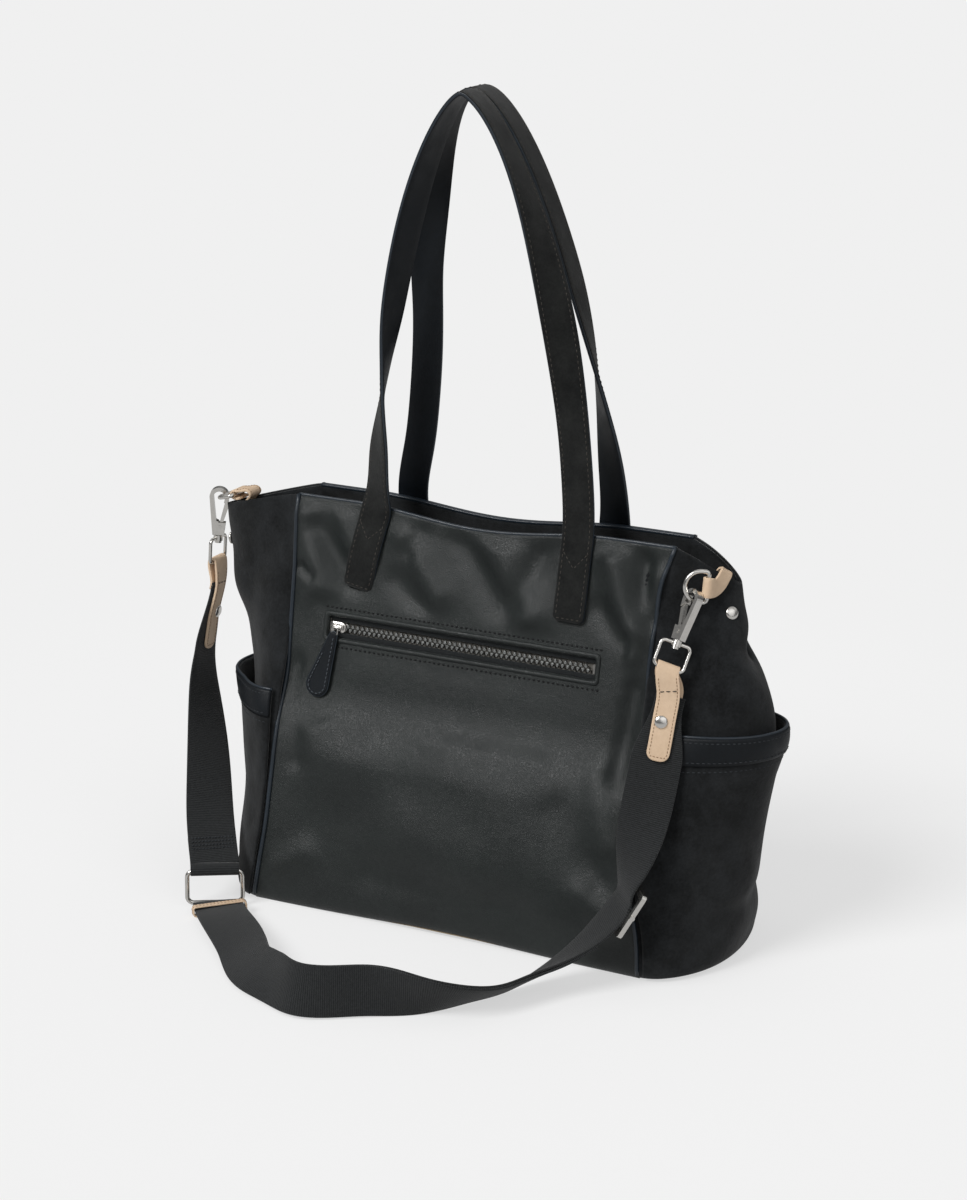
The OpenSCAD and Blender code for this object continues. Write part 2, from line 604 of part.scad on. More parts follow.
// Strap with its own width at every point
module shaped_strap(p, w, wide, t) {
    rings_solid([for (i = [0:len(p) - 1]) strap_ring_at(p, w, i, wide[i], -t / 2, t / 2)]);
}
wrap_r = d_wire / 2 + run_gap + tan_t / 2 + 0.35;
left_tab_path = [left_hang + [-59.9259, 1, -51], left_hang + [-58.4259, 1, -33], left_hang + [-53.4259, 1, -18], left_hang + [-47.4259, 1, -11], left_hang + [-45.9259, 1, -8], left_hang + [-48.4259, 1, -6.4],
    left_bar + [6, 0, wrap_r + 1], left_bar + wrap_r * unit([0.2, 0, 1]), left_bar + wrap_r * unit([-0.7, 0, 0.7]),
    left_bar + wrap_r * unit([-1, 0, -0.2]), left_bar + wrap_r * unit([-0.3, 0, -1]), left_bar + [5, 0, -wrap_r + 0.4]];
left_tab_wide = [for (i = [0:11]) i < 4 ? 10 + i * (tab_w - 10) / 4 : tab_w];
right_out = unit(cross(right_axis, unit(right_bar - right_hang - [32.4259, 0.5, -19.4])));
right_go = unit(cross(right_out, right_axis));
right_tab_path = [right_hang + [33.8259, -2.3, -47.4], right_hang + [30.6259, 1, -35.4], right_hang + [28.0259, 2.5, -26], right_hang + [28.4259, 3, -19.4], right_hang + [31.8259, 1.1, -17.7],
    right_hang + [33.6259, -4.5, -19.1], right_bar + wrap_r * right_out - 6 * right_go, right_bar + wrap_r * right_out,
    right_bar + wrap_r * unit(right_out + right_go), right_bar + wrap_r * right_go,
    right_bar + wrap_r * unit(right_go - right_out), right_bar - wrap_r * right_out,
    right_bar - wrap_r * right_out - 4 * right_go];
right_tab_turn = [[0.6, 0.77, -0.1], [0.6, 0.77, -0.1], [0.64, 0.58, -0.5], [0.64, 0.58, -0.5], [0.64, 0.58, -0.5],
    [0.45, 0.35, -0.8], -right_axis, -right_axis, -right_axis, -right_axis, -right_axis, -right_axis, -right_axis];
right_tab_wide = [for (i = [0:12]) i == 0 ? 11 : i == 1 ? 13 : tab_w];
module left_ring_tab() color("#c8ab8c") difference() {
    shaped_strap(left_tab_path, [for (p = left_tab_path) [0, 1, 0]], left_tab_wide, tan_t);
    left_ring_rivet(true);
}
module right_ring_tab() color("#c8ab8c") difference() {
    shaped_strap(right_tab_path, right_tab_turn, right_tab_wide, tan_t);
    right_ring_rivet(true);
}

// Rivet along the local z axis: a dome on the outside, a shaft, and a flat cap inside
shaft_d = 3;          // diameter of the rivets' shafts
dome_h = 2;           // height of a rivet's dome
module rivet(grip) {
    intersection() {
        translate([0, 0, dome_h - rivet_dome_r]) sphere(r = rivet_dome_r);
        cylinder(h = dome_h, d = rivet_d);
    }
    translate([0, 0, -grip - 1]) cylinder(h = grip + 1.2, d = shaft_d);
    translate([0, 0, -grip - 1]) cylinder(h = 1, d = rivet_d - 2);
}
rivet_dome_r = (rivet_d * rivet_d / 4 + dome_h * dome_h) / (2 * dome_h);
// Room for a rivet in the layers that it joins
module rivet_room(grip) {
    translate([0, 0, -fit_gap / 2]) cylinder(h = 4, d = rivet_d + fit_gap);
    translate([0, 0, -grip - 1]) cylinder(h = grip + 1, d = shaft_d + fit_gap);
    translate([0, 0, -grip - 4]) cylinder(h = 4 + fit_gap / 2, d = rivet_d - 2 + fit_gap);
}
module rivet_at(o, out, grip, room = false) {
    side = unit(cross([0, 0, 1], out));
    place(o, side, unit(out)) {
        if (room) rivet_room(grip);
        else rivet(grip);
    }
}
module right_ring_rivet(room = false)
    rivet_at(gusset_point(RIGHT, bag_h - 31, 60) + [0.24, -0.17, 0], [0.80, -0.58, -0.14], skin_t + tan_t + 3.6, room);
module left_ring_rivet(room = false)
    rivet_at(gusset_point(LEFT, bag_h - 35, 90) + [-0.3, 0, 0], [-1, 0, -0.25], skin_t + tan_t + 9, room);
module ring_tab_rivets() color("#dcdedd") {
    right_ring_rivet();
    left_ring_rivet();
}

// ---------- clips: origin at the swivel, z up to the hook, x along the loop ----------
collar_d = 7.6;       // diameter of the swivel's collar
collar_h = 4.6;       // height of the swivel's collar
loop_out = loop_in + loop_wire;
bend_r = 3.4;         // corner radius of the swivel loop
left_swivel = left_hang + [-84.3259, -1.2, -50.9];
left_up = unit([0.052, 0, 0.999]);
left_loop_x = [0, 1, 0];
left_turn = 116;
right_swivel = right_hang + [12.2759, -41.91, -64.82];
right_up = unit([0.168, 0.414, 0.895]);
right_loop_x = unit(cross(cross(right_up, [0.857, 0.386, -0.34]), right_up));
right_turn = -56;
module at_left_clip(turn = 0) place(left_swivel, left_loop_x, left_up) rotate([0, 0, turn]) children();
module at_right_clip(turn = 0) place(right_swivel, right_loop_x, right_up) rotate([0, 0, turn]) children();

// Rectangular frame of round wire in the local xz plane, centre to centre w by h, top at z = 0
module wire_frame(w, h, r, d) {
    for (s = [-1, 1]) translate([s * w / 2, 0, -h + r]) cylinder(h = h - 2 * r, d = d);
    for (z = [0, -h]) translate([-w / 2 + r, 0, z]) rotate([0, 90, 0]) cylinder(h = w - 2 * r, d = d);
    for (s = [0, 1], k = [0, 1]) mirror([s, 0, 0]) translate([w / 2 - r, 0, k == 0 ? -r : -h + r])
        rotate([90, 0, 0]) rotate([0, 0, k == 0 ? 0 : -90]) rotate_extrude(angle = 90) translate([r, 0]) circle(d = d);
}
module clip_loop() difference() {
    union() {
        wire_frame(loop_out, loop_h - loop_wire, bend_r, loop_wire);
        translate([0, 0, -collar_h / 2]) cylinder(h = collar_h, d = collar_d);
    }
    translate([0, 0, -collar_h]) cylinder(h = 2 * collar_h, d = post_d + 2 * run_gap);
}
eye_r = hook_w / 2 - hook_bar;
foot_z = collar_h / 2 + 0.4;
bow_z = hook_h - hook_w / 2;
pin_at = [-1.2, 9];
pin_d = 1.8;          // diameter of the gate's pin
nose = [[-hook_w / 2, bow_z - 8], [-eye_r + 0.1, bow_z - 4.8]];
module hook_shape() {
    difference() {
        hull() {
            translate([0, bow_z]) circle(r = hook_w / 2);
            translate([-4.6, foot_z]) square([9.2, 3]);
        }
        hull() {
            translate([0, bow_z]) circle(r = eye_r);
            translate([0.3, 16]) circle(r = 2);
        }
        polygon([[-hook_w, 13], [0, 13], [0, bow_z - 4], nose[1], nose[0], [-hook_w, bow_z - 8]]);
    }
}
module hook_wall(t) translate([0, t / 2, 0]) rotate([90, 0, 0]) linear_extrude(t) children();
gate_t = 3.2;         // thickness of the gate
barrel_r = 2.1;       // radius of the gate's barrel
module clip_hook() {
    difference() {
        hook_wall(hook_t) hook_shape();
        hook_wall(gate_t + 2 * fit_gap) polygon([[-hook_w, 6.3], [2, 6.3], [2, 14.6], [-hook_w, 14.6]]);
        translate([pin_at[0], 0, pin_at[1]]) rotate([90, 0, 0]) cylinder(h = hook_t + 2, d = pin_d, center = true);
    }
    translate([0, 0, -collar_h / 2 - 0.3]) cylinder(h = foot_z + collar_h / 2 + 0.8, d = post_d);
    translate([0, 0, -collar_h / 2 - 1.8]) cylinder(h = 1.6, d = 5.6);
}
module clip_pin() translate([pin_at[0], 0, pin_at[1]]) rotate([90, 0, 0]) {
    cylinder(h = hook_t + 0.4, d = pin_d, center = true);
    for (s = [-1, 1]) translate([0, 0, s * (hook_t / 2 + 0.25)]) cylinder(h = 0.5, d = 3.4, center = true);
}
spring_side = 0.5;    // how far off the middle the gate's coil begins
module clip_gate() difference() {
    hook_wall(gate_t) union() {
        translate(pin_at) circle(r = barrel_r);
        hull() {
            translate(pin_at) circle(r = 1.2);
            polygon([nose[0] + [0.25, -0.35], nose[1] + [0, -0.3], [-5, bow_z - 7.5], [-6.8, bow_z - 9.5]]);
        }
    }
    translate([pin_at[0], 0, pin_at[1]]) rotate([90, 0, 0]) cylinder(h = hook_t, d = pin_d + 2 * run_gap, center = true);
    translate([pin_at[0], gate_t, pin_at[1]]) rotate([90, 0, 0])
        cylinder(h = gate_t - spring_side, r = barrel_r + fit_gap);
}
module clip_spring() translate([pin_at[0], 0, pin_at[1]]) {
    for (k = [0, 1]) translate([0, spring_side + 0.45 + 0.55 * k, 0]) rotate([90, 0, 0])
        rotate_extrude() translate([1.45, 0]) circle(d = 0.55, $fn = 16);
    translate([1.45, spring_side + 1, 0]) cylinder(h = 2.1, d = 0.5, $fn = 16);
}
module left_clip_loop() color("#d4d6d7") at_left_clip() clip_loop();
module right_clip_loop() color("#d4d6d7") at_right_clip() clip_loop();
module left_clip_hook() color("#d4d6d7") at_left_clip(left_turn) clip_hook();
module right_clip_hook() color("#d4d6d7") at_right_clip(right_turn) clip_hook();
module left_clip_pin() color("#b9bcbd") at_left_clip(left_turn) clip_pin();
module right_clip_pin() color("#b9bcbd") at_right_clip(right_turn) clip_pin();
module left_clip_gate() color("#d4d6d7") at_left_clip(left_turn) clip_gate();
module right_clip_gate() color("#d4d6d7") at_right_clip(right_turn) clip_gate();
module left_clip_spring() color("#9a9da0") at_left_clip(left_turn) clip_spring();
module right_clip_spring() color("#9a9da0") at_right_clip(right_turn) clip_spring();

// ---------- shoulder strap: [place, direction across the webbing] ----------
short_run = [
    [left_hang + [-84.4259, -2, -88], [-0.10, 1, 0]], [left_hang + [-88.4259, -6, -112], [-0.10, 1, 0]], [left_hang + [-93.4259, -10, -149], [-0.10, 1, 0]],
    [[-243, -24, 136], [0.07, 1, 0]], [[-230, -42, 109], [0.28, 0.96, 0]], [[-217, -62, 84], [0.5, 0.87, 0]],
    [[-204, -82, 60], [0.71, 0.71, 0]], [[-192, -98, 43], [0.81, 0.59, 0]], [[-185, -107, 33.5], [0.85, 0.53, 0]]];
long_leg = [
    [right_hang + [11.5259, -48.2, -103.2], [0.91, 0.41, 0]], [right_hang + [9.9259, -61.1, -133.6], [0.91, 0.41, 0]], [right_hang + [7.4259, -70, -167], [0.94, 0.34, 0]],
    [[163, -79, 118], [1, 0, 0]], [[160, -88, 90], [0.82, -0.57, 0]], [[159, -91.5, 76], [0.6, -0.8, -0.1]],
    [[158.5, -93.5, 66], [0.57, -0.81, -0.12]]];
floor_run = [
    [[154, -97, 58], [0.57, -0.81, -0.12]], [[138, -108, 38], [0.56, -0.81, 0.05]], [[120, -126, 22], [0.45, -0.85, 0.25]],
    [[104, -150, 14], [0.3, -0.85, 0.4]], [[87, -182, 13], [0.3, -0.8, 0.5]], [[59, -213, 17.5], [0.2, -0.47, 0.85]],
    [[18, -229, 19.8], [0, 0.1, 1]], [[-12, -247, 19.8], [-0.05, 0.2, 0.98]], [[-28, -251, 19.8], [-0.15, 0.3, 0.94]],
    [[-55, -239, 18], [-0.2, 0.62, 0.76]], [[-86, -218, 13], [0.03, 0.88, 0.47]], [[-114, -185, 10.5], [0.35, 0.87, 0.34]],
    [[-160, -137, 8], [0.78, 0.62, 0.1]], [[-174, -120, 5.2], [0.78, 0.62, 0.06]], [[-180, -113, 4.7], [0.85, 0.53, 0]]];
function places(run) = [for (q = run) q[0]];
function widths(run) = [for (q = run) q[1]];
main_run = concat(long_leg, floor_run);
module strap_short() color("#2c2e31") difference() {
    flat_strap(places(short_run), widths(short_run), web_w, -web_t / 2, web_t / 2);
    left_tab_rivet(true);
}
web_gap = 0.15;       // half of the gap between the two runs of webbing
over_bar = 1.9;       // height at which the webbing passes the slider's bar
leg_lift = [for (i = [0:len(main_run) - 1]) i < 5 ? -web_t / 2 : i == 5 ? 0.6 : i == 6 ? over_bar : i == 7 ? 0.9 : web_gap];
return_run = [for (i = [1:len(floor_run) - 1]) floor_run[i]];
module strap_long() color("#2c2e31") difference() {
    lifted_strap(places(main_run), widths(main_run), web_w, leg_lift, web_t);
    right_tab_rivet(true);
}
module strap_return() color("#2c2e31")
    flat_strap(places(return_run), widths(return_run), web_w, -web_gap - web_t, -web_gap);

ring_at = [-184, -109, 16.2];
ring_x = unit([0.85, 0.53, 0]);
ring_in = web_w + 1.6;
module strap_ring() color("#d4d6d7") place(ring_at + [0, 0, (ring_h - ring_wire) / 2], ring_x, [0, 0, 1])
    wire_frame(ring_in + ring_wire, ring_h - ring_wire, 5, ring_wire);

frame_t = frame_wire;
rail = 4.6;           // width of the slider frame's side rails
slider_at = [158.5, -94, 66];
slider_across = unit([0.57, -0.81, -0.12]);
slider_up = unit([0.454, 0.187, 0.87] - slider_across * ([0.454, 0.187, 0.87] * slider_across));
frame_w = web_w + 1.2 + 2 * rail;
pivot_d = 2.2;        // diameter of the slider bar's ends
module at_slider() place(slider_at, slider_across, slider_up) children();
module slider_frame() color("#d4d6d7") at_slider() difference() {
    translate([0, frame_t / 2, 0]) rotate([90, 0, 0]) linear_extrude(frame_t) difference() {
        offset(r = 3) square([frame_w - 6, frame_h - 6], center = true);
        offset(r = 1.5) square([web_w + 1.2 - 3, frame_h - 2 * rail - 3], center = true);
    }
    rotate([0, 90, 0]) cylinder(h = frame_w + 2, d = pivot_d, center = true);
}
module slider_bar() color("#d4d6d7") at_slider() rotate([0, 90, 0]) {
    cylinder(h = web_w + 1, d = 3.2, center = true);
    cylinder(h = frame_w + 0.4, d = pivot_d, center = true);
    for (s = [-1, 1]) translate([0, 0, s * (frame_w / 2 + 0.5)]) cylinder(h = 1, d = 4, center = true);
}
keeper_t = 1.4;       // thickness of the keeper's leather
keeper_at = [-171.5, -123, 5.75];
keeper_go = unit([0.63, -0.765, 0.126]);
keeper_x = unit([0.78, 0.62, 0.06] - keeper_go * ([0.78, 0.62, 0.06] * keeper_go));
module strap_keeper() color("#b89a7a") place(keeper_at, keeper_x, keeper_go) translate([0, 0, -keeper_w / 2])
    linear_extrude(keeper_w) difference() {
        square([web_w + 1.8 + 2 * keeper_t, 2 * web_t + 2.2 + 2 * keeper_t], center = true);
        square([web_w + 1.8, 2 * web_t + 2.2], center = true);
    }

// Tan end tabs, folded over the clips' loops: front leg, fold, back leg
fold_r = loop_wire / 2 + run_gap + tan_t / 2 + 0.55;
left_eye = left_swivel - left_up * (loop_h - loop_wire);
right_eye = right_swivel - right_up * (loop_h - loop_wire);
right_face = unit(cross(right_loop_x, right_up));
left_face = unit(cross(left_loop_x, left_up));
tab_off = web_t / 2 + tan_t / 2 + 0.4;
function web_face(run, i) = -facing(places(run), widths(run), i);
function fold_over(eye, up, face) = [for (a = [0:30:180]) eye + fold_r * (face * cos(a) + up * sin(a))];
right_off = [0.8, -1.8, 0.7] * (tab_off / 2.1);
right_strap_path = concat([right_hang + [8.7759, -65.2, -149] + 1.2 * right_off, right_hang + [9.9259, -61.1, -133.6] + right_off,
    right_hang + [10.9559, -52.8, -114] + right_off, right_hang + [11.7059, -46.65, -99.5] + 1.15 * right_off], fold_over(right_eye, right_up, right_face),
    [right_hang + [11.7059, -46.65, -99.5] - right_off, right_hang + [11.3259, -49.8, -107] - right_off]);
left_off = [2.0, 0.2, -0.35] * (tab_off / 2.05);
left_strap_path = concat([left_hang + [-92.4259, -9, -142] + 1.12 * left_off, left_hang + [-90.4259, -7.5, -127] + left_off, left_hang + [-88.4259, -6, -112] + left_off,
    left_hang + [-84.4259, -2, -88] + left_off], fold_over(left_eye, left_up, left_face),
    [left_hang + [-84.4259, -2, -88] - left_off, left_hang + [-85.4259, -3, -94] - left_off]);
function tab_dirs(n, low, high) = [for (i = [0:n - 1]) i < 4 || i > n - 3 ? low : high];
function tab_widths(n) = [for (i = [0:n - 1]) i == 0 ? tab_w * 0.6 : tab_w];
module left_strap_tab() color("#c8ab8c") difference() {
    shaped_strap(left_strap_path,
        tab_dirs(len(left_strap_path), [-0.1, 1, 0], left_loop_x), tab_widths(len(left_strap_path)), tan_t);
    left_tab_rivet(true);
}
module right_strap_tab() color("#c8ab8c") difference() {
    shaped_strap(right_strap_path,
        tab_dirs(len(right_strap_path), [0.91, 0.41, 0], right_loop_x), tab_widths(len(right_strap_path)), tan_t);
    right_tab_rivet(true);
}
module right_tab_rivet(room = false)
    rivet_at(right_hang + [10.2759, -58.3, -127] + right_off * 1.5, right_off, tan_t + web_t + 0.4, room);
module left_tab_rivet(room = false)
    rivet_at(left_hang + [-90.0259, -7.2, -123] + left_off * 1.5, left_off, tan_t + web_t + 0.4, room);
module strap_tab_rivets() color("#dcdedd") {
    right_tab_rivet();
    left_tab_rivet();
}
hem_d = 1.6;          // diameter of the rods in the webbing's hems
module strap_end_bars() color("#c8cacb") {
    for (run = [main_run, short_run]) let (p = places(run), w = widths(run))
        place(p[0] - along(p, 0) * (hem_d / 2 + 0.1), along(p, 0), across(p, w, 0))
            cylinder(h = web_w + 3, d = hem_d, center = true);
}

front_panel();
back_panel();
left_gusset();
right_gusset();
base_panel();
base_board();
lining();
rim_facing();
front_piping();
back_piping();
rim_binding();
left_pocket();
right_pocket();
left_pocket_band();
right_pocket_band();
zip_welt();
zip_tapes();
zip_teeth_upper();
zip_teeth_lower();
zip_stops();
zip_pocket_bag();
zip_slider();
zip_pull_link();
zip_pull_tab();
front_handle_feet();
front_handle_feet_backing();
front_handle_suede();
front_handle_backing();
back_handle_feet();
back_handle_feet_backing();
back_handle_suede();
back_handle_backing();
left_ring_tab();
right_ring_tab();
ring_tab_rivets();
left_d_ring();
right_d_ring();
left_clip_hook();
left_clip_gate();
left_clip_pin();
left_clip_spring();
left_clip_loop();
right_clip_hook();
right_clip_gate();
right_clip_pin();
right_clip_spring();
right_clip_loop();
left_strap_tab();
right_strap_tab();
strap_tab_rivets();
strap_end_bars();
strap_short();
strap_ring();
strap_long();
strap_return();
strap_keeper();
slider_frame();
slider_bar();
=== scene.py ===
import math
import bmesh
import bpy
import numpy as np
from mathutils import Matrix, Vector
from mathutils.bvhtree import BVHTree


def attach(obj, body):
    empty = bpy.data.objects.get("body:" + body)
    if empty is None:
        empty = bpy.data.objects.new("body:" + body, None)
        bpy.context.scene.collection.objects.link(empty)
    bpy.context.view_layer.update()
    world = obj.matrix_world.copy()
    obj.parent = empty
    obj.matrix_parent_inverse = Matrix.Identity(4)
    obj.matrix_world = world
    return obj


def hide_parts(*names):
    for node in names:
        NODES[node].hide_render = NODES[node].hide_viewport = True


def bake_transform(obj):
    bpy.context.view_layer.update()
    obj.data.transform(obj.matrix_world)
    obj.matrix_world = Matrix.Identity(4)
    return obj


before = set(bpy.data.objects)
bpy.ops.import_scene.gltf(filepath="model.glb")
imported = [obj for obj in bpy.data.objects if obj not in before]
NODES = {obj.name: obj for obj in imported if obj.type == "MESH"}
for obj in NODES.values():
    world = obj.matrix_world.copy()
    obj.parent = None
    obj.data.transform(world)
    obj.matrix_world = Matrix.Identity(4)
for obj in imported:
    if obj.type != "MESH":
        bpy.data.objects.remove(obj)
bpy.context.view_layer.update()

MM = 0.001
LEFT, RIGHT, FRONT, BACK = -1, 1, -1, 1

# ---------------------------------------------------------------- camera
IMAGE_W, IMAGE_H = 967, 1200
CAM_AZIMUTH = 26.0        # degrees to the right of straight ahead
CAM_ELEVATION = 16.9
CAM_ROLL = 0.84
CAM_TARGET = (-6.6, 0.0, 248.0)
CAM_DISTANCE = 2174.0
CAM_LENS, CAM_SENSOR = 85.0, 36.0


def make_camera():
    a, e, r = (math.radians(v) for v in (CAM_AZIMUTH, CAM_ELEVATION, CAM_ROLL))
    back = Vector((math.sin(a) * math.cos(e), -math.cos(a) * math.cos(e), math.sin(e)))
    right = Vector((math.cos(a), math.sin(a), 0))
    up = back.cross(right)
    right, up = right * math.cos(r) + up * math.sin(r), up * math.cos(r) - right * math.sin(r)
    cam = bpy.data.objects.new("camera", bpy.data.cameras.new("camera"))
    cam.data.lens, cam.data.sensor_width = CAM_LENS, CAM_SENSOR
    m = Matrix((right, up, back)).transposed().to_4x4()
    m.translation = (Vector(CAM_TARGET) + back * CAM_DISTANCE) * MM
    cam.matrix_world = m
    bpy.context.scene.collection.objects.link(cam)
    bpy.context.scene.camera = cam
    return cam


CAMERA = make_camera()
bpy.context.scene.view_settings.view_transform = "Standard"

# ---------------------------------------------------------------- small maths
def A(*v):
    """An array of decimal numbers."""
    return np.array(v, float)


def unit(v):
    v = np.asarray(v, float)
    return v / np.linalg.norm(v, axis=-1, keepdims=True)


def mix(a, b, t):
    return a + (b - a) * t


def smooth(t):
    c = np.clip(t, 0, 1)
    return c * c * (3 - 2 * c)


def spline(xs, ys):
    """Natural cubic spline through the given points; ys may be rows of numbers."""
    xs, ys = np.asarray(xs, float), np.asarray(ys, float)
    n = len(xs)
    h = np.diff(xs)
    m = np.eye(n)
    r = np.zeros_like(ys)
    for i in range(1, n - 1):
        m[i, i - 1], m[i, i], m[i, i + 1] = h[i - 1], 2 * (h[i - 1] + h[i]), h[i]
        r[i] = 6 * ((ys[i + 1] - ys[i]) / h[i] - (ys[i] - ys[i - 1]) / h[i - 1])
    c = np.linalg.solve(m, r)

    def at(x):
        x = np.clip(np.asarray(x, float), xs[0], xs[-1])
        i = np.clip(np.searchsorted(xs, x) - 1, 0, n - 2)
        t0, t1, hh = xs[i + 1] - x, x - xs[i], h[i]
        if ys.ndim > 1:
            t0, t1, hh = t0[..., None], t1[..., None], hh[..., None]
        return (c[i] * t0 ** 3 + c[i + 1] * t1 ** 3) / (6 * hh) + (ys[i] / hh - c[i] * hh / 6) * t0 \
            + (ys[i + 1] / hh - c[i + 1] * hh / 6) * t1
    return at


def square(v, axis):
    """Direction of v square to an axis."""
    return unit(v - axis * (v @ axis))


def steps(pts):
    """Distances along a line of points."""
    d = np.linalg.norm(np.diff(np.asarray(pts, float), axis=0), axis=1)
    return np.concatenate([[0], np.cumsum(d)])


def sample(rows, s, at):
    """Rows of numbers given at the distances s, read at others."""
    return np.stack([np.interp(at, s, rows[:, k]) for k in range(rows.shape[1])], -1)


def resample(loop, n):
    """n even points round a closed loop."""
    loop = np.concatenate([loop, loop[:1]])
    s = steps(loop)
    return sample(loop, s, np.linspace(0, s[-1], n, endpoint=False))


def fair(pts, dirs=None, step=2.5):
    """Points at even steps on a smooth curve through pts, and the directions given with them."""
    pts = np.asarray(pts, float)
    s = steps(pts)
    curve = spline(s, pts)
    fine = curve(np.linspace(0, s[-1], 60 * len(pts)))
    fs = steps(fine)
    n = max(3, int(round(fs[-1] / step)) + 1)
    at = np.interp(np.linspace(0, fs[-1], n), fs, np.linspace(0, s[-1], len(fine)))
    out = curve(at)
    if dirs is None:
        return out
    return out, unit(spline(s, np.asarray(dirs, float))(at))


# ---------------------------------------------------------------- meshes
def build(name, verts, faces, mat, flat=False, uv=None):
    """A mesh object from points in millimetres. uv holds one pair for each point."""
    me = bpy.data.meshes.new(name)
    me.from_pydata((np.asarray(verts, float) * MM).tolist(), [], [list(map(int, f)) for f in faces])
    me.validate()
    if uv is not None:
        layer = me.uv_layers.new(name="along")
        idx = np.zeros(len(me.loops), int)
        me.loops.foreach_get("vertex_index", idx)
        layer.data.foreach_set("uv", (np.asarray(uv, float)[idx] * MM).ravel().astype(np.float32))
    if not flat:
        me.polygons.foreach_set("use_smooth", [True] * len(me.polygons))
    me.materials.append(mat)
    o = bpy.data.objects.new(name, me)
    bpy.context.scene.collection.objects.link(o)
    return o


class Soup:
    """Collects parts of one mesh."""

    def __init__(self, *meshes):
        self.v, self.f, self.uv, self.n = [], [], [], 0
        for mesh in meshes:
            self.add(*mesh)

    def add(self, verts, faces, uv=None):
        verts = np.asarray(verts, float)
        self.f += [[i + self.n for i in f] for f in faces]
        self.v.append(verts)
        self.uv.append(np.zeros((len(verts), 2)) if uv is None else np.asarray(uv, float))
        self.n += len(verts)

    def make(self, name, mat, flat=False):
        return build(name, np.concatenate(self.v), self.f, mat, flat, np.concatenate(self.uv))

    def piece(self, name, mat, body, *replaced, flat=False):
        return finish_piece(self.make(name, mat, flat), body, *replaced)


def ring_faces(m, n, loop_rows=False):
    """Faces through m rings of n points each, capped unless the rings close on themselves."""
    f = []
    for i in range(m if loop_rows else m - 1):
        k = (i + 1) % m
        f += [[i * n + j, i * n + (j + 1) % n, k * n + (j + 1) % n, k * n + j] for j in range(n)]
    if not loop_rows:
        f += [list(range(n - 1, -1, -1)), list(range((m - 1) * n, m * n))]
    return f


def grid_normals(g):
    n = np.cross(np.gradient(g, axis=1), np.gradient(g, axis=0))
    return n / np.maximum(np.linalg.norm(n, axis=-1, keepdims=True), 1e-9)


def shell(name, g, thick, mat, hole=None):
    """A closed skin from a grid of outer points g[row, column]; its thickness goes against
    the grid's normals. hole marks cells left open."""
    m, n = g.shape[:2]
    inner = g - grid_normals(g) * thick
    faces, edges = [], {}
    for i in range(m - 1):
        for j in range(n - 1):
            if hole is None or not hole[i, j]:
                k = i * n + j
                q = [k, k + 1, k + n + 1, k + n]
                faces.append(q)
                edges.update(dict.fromkeys(zip(q, q[1:] + q[:1])))
    big = m * n
    faces += [[k + big for k in reversed(f)] for f in faces]
    faces += [[b, a, a + big, b + big] for a, b in edges if (b, a) not in edges]
    o = build(name, np.concatenate([g.reshape(-1, 3), inner.reshape(-1, 3)]), faces, mat)
    if hole is not None:
        drop_loose(o)
    return o


def drop_loose(o):
    """Deletes the points that no face uses."""
    b = bmesh.new()
    b.from_mesh(o.data)
    bmesh.ops.delete(b, geom=[v for v in b.verts if not v.link_faces], context="VERTS")
    b.to_mesh(o.data)
    b.free()


def circle(n):
    """Cosines and sines of n even angles, as columns."""
    a = np.arange(n) * 2 * math.pi / n
    return np.cos(a)[:, None], np.sin(a)[:, None]


def tube(path, r, sides, closed=False):
    """Rings of a round tube along path."""
    p = np.asarray(path, float)
    t = unit(np.roll(p, -1, 0) - np.roll(p, 1, 0)) if closed else unit(np.gradient(p, axis=0))
    ref = A(1, 0, 0) if abs(t[0][2]) > 0.95 else A(0, 0, 1)
    u = np.zeros_like(p)
    prev = square(ref, t[0])
    for i in range(len(p)):
        u[i] = prev = square(prev, t[i])
    c, s = circle(sides)
    rings = p[:, None] + r * (u[:, None] * c + np.cross(t, u)[:, None] * s)
    return rings.reshape(-1, 3), ring_faces(len(p), sides, closed)


def rounded_box(x0, x1, y0, y1, r, n=6):
    """Points round a box, n for each rounded corner."""
    pts = []
    for cx, cy, a0 in ((x1 - r, y1 - r, 0), (x0 + r, y1 - r, 90), (x0 + r, y0 + r, 180), (x1 - r, y0 + r, 270)):
        for i in range(n):
            a = math.radians(a0 + 90 * i / (n - 1))
            pts.append((cx + r * math.cos(a), cy + r * math.sin(a)))
    return np.array(pts)


def profile(half, lo, hi, edge):
    """Rounded cross-section of a strap: points (across, height), with four more on each flat."""
    e = min(edge, (hi - lo) / 2 - 1e-3)
    box = rounded_box(-half, half, lo, hi, e, 4)
    flat = A(.6, .2, -.2, -.6) * (half - e)
    top, low = (np.stack([side * flat, np.full(4, h)], 1) for side, h in ((1, hi), (-1, lo)))
    return np.concatenate([box[:4], top, box[4:12], low, box[12:]])


def strap_frame(p, w):
    """Directions across and out of a strap."""
    t = unit(np.gradient(p, axis=0))
    a = unit(w - t * np.sum(w * t, axis=1, keepdims=True))
    return a, np.cross(t, a)


def round_ends(s, half, r0, r1):
    """Half width along a strap whose ends are rounded with radii r0 and r1."""
    out = np.full(len(s), 0.0) + half
    for r, d in ((r0, s), (r1, s[-1] - s)):
        if r > 0:
            k = np.clip(1 - d / r, 0, 1)
            out -= r * (1 - np.sqrt(np.clip(1 - k ** 2, 0.02, 1)))
    return out


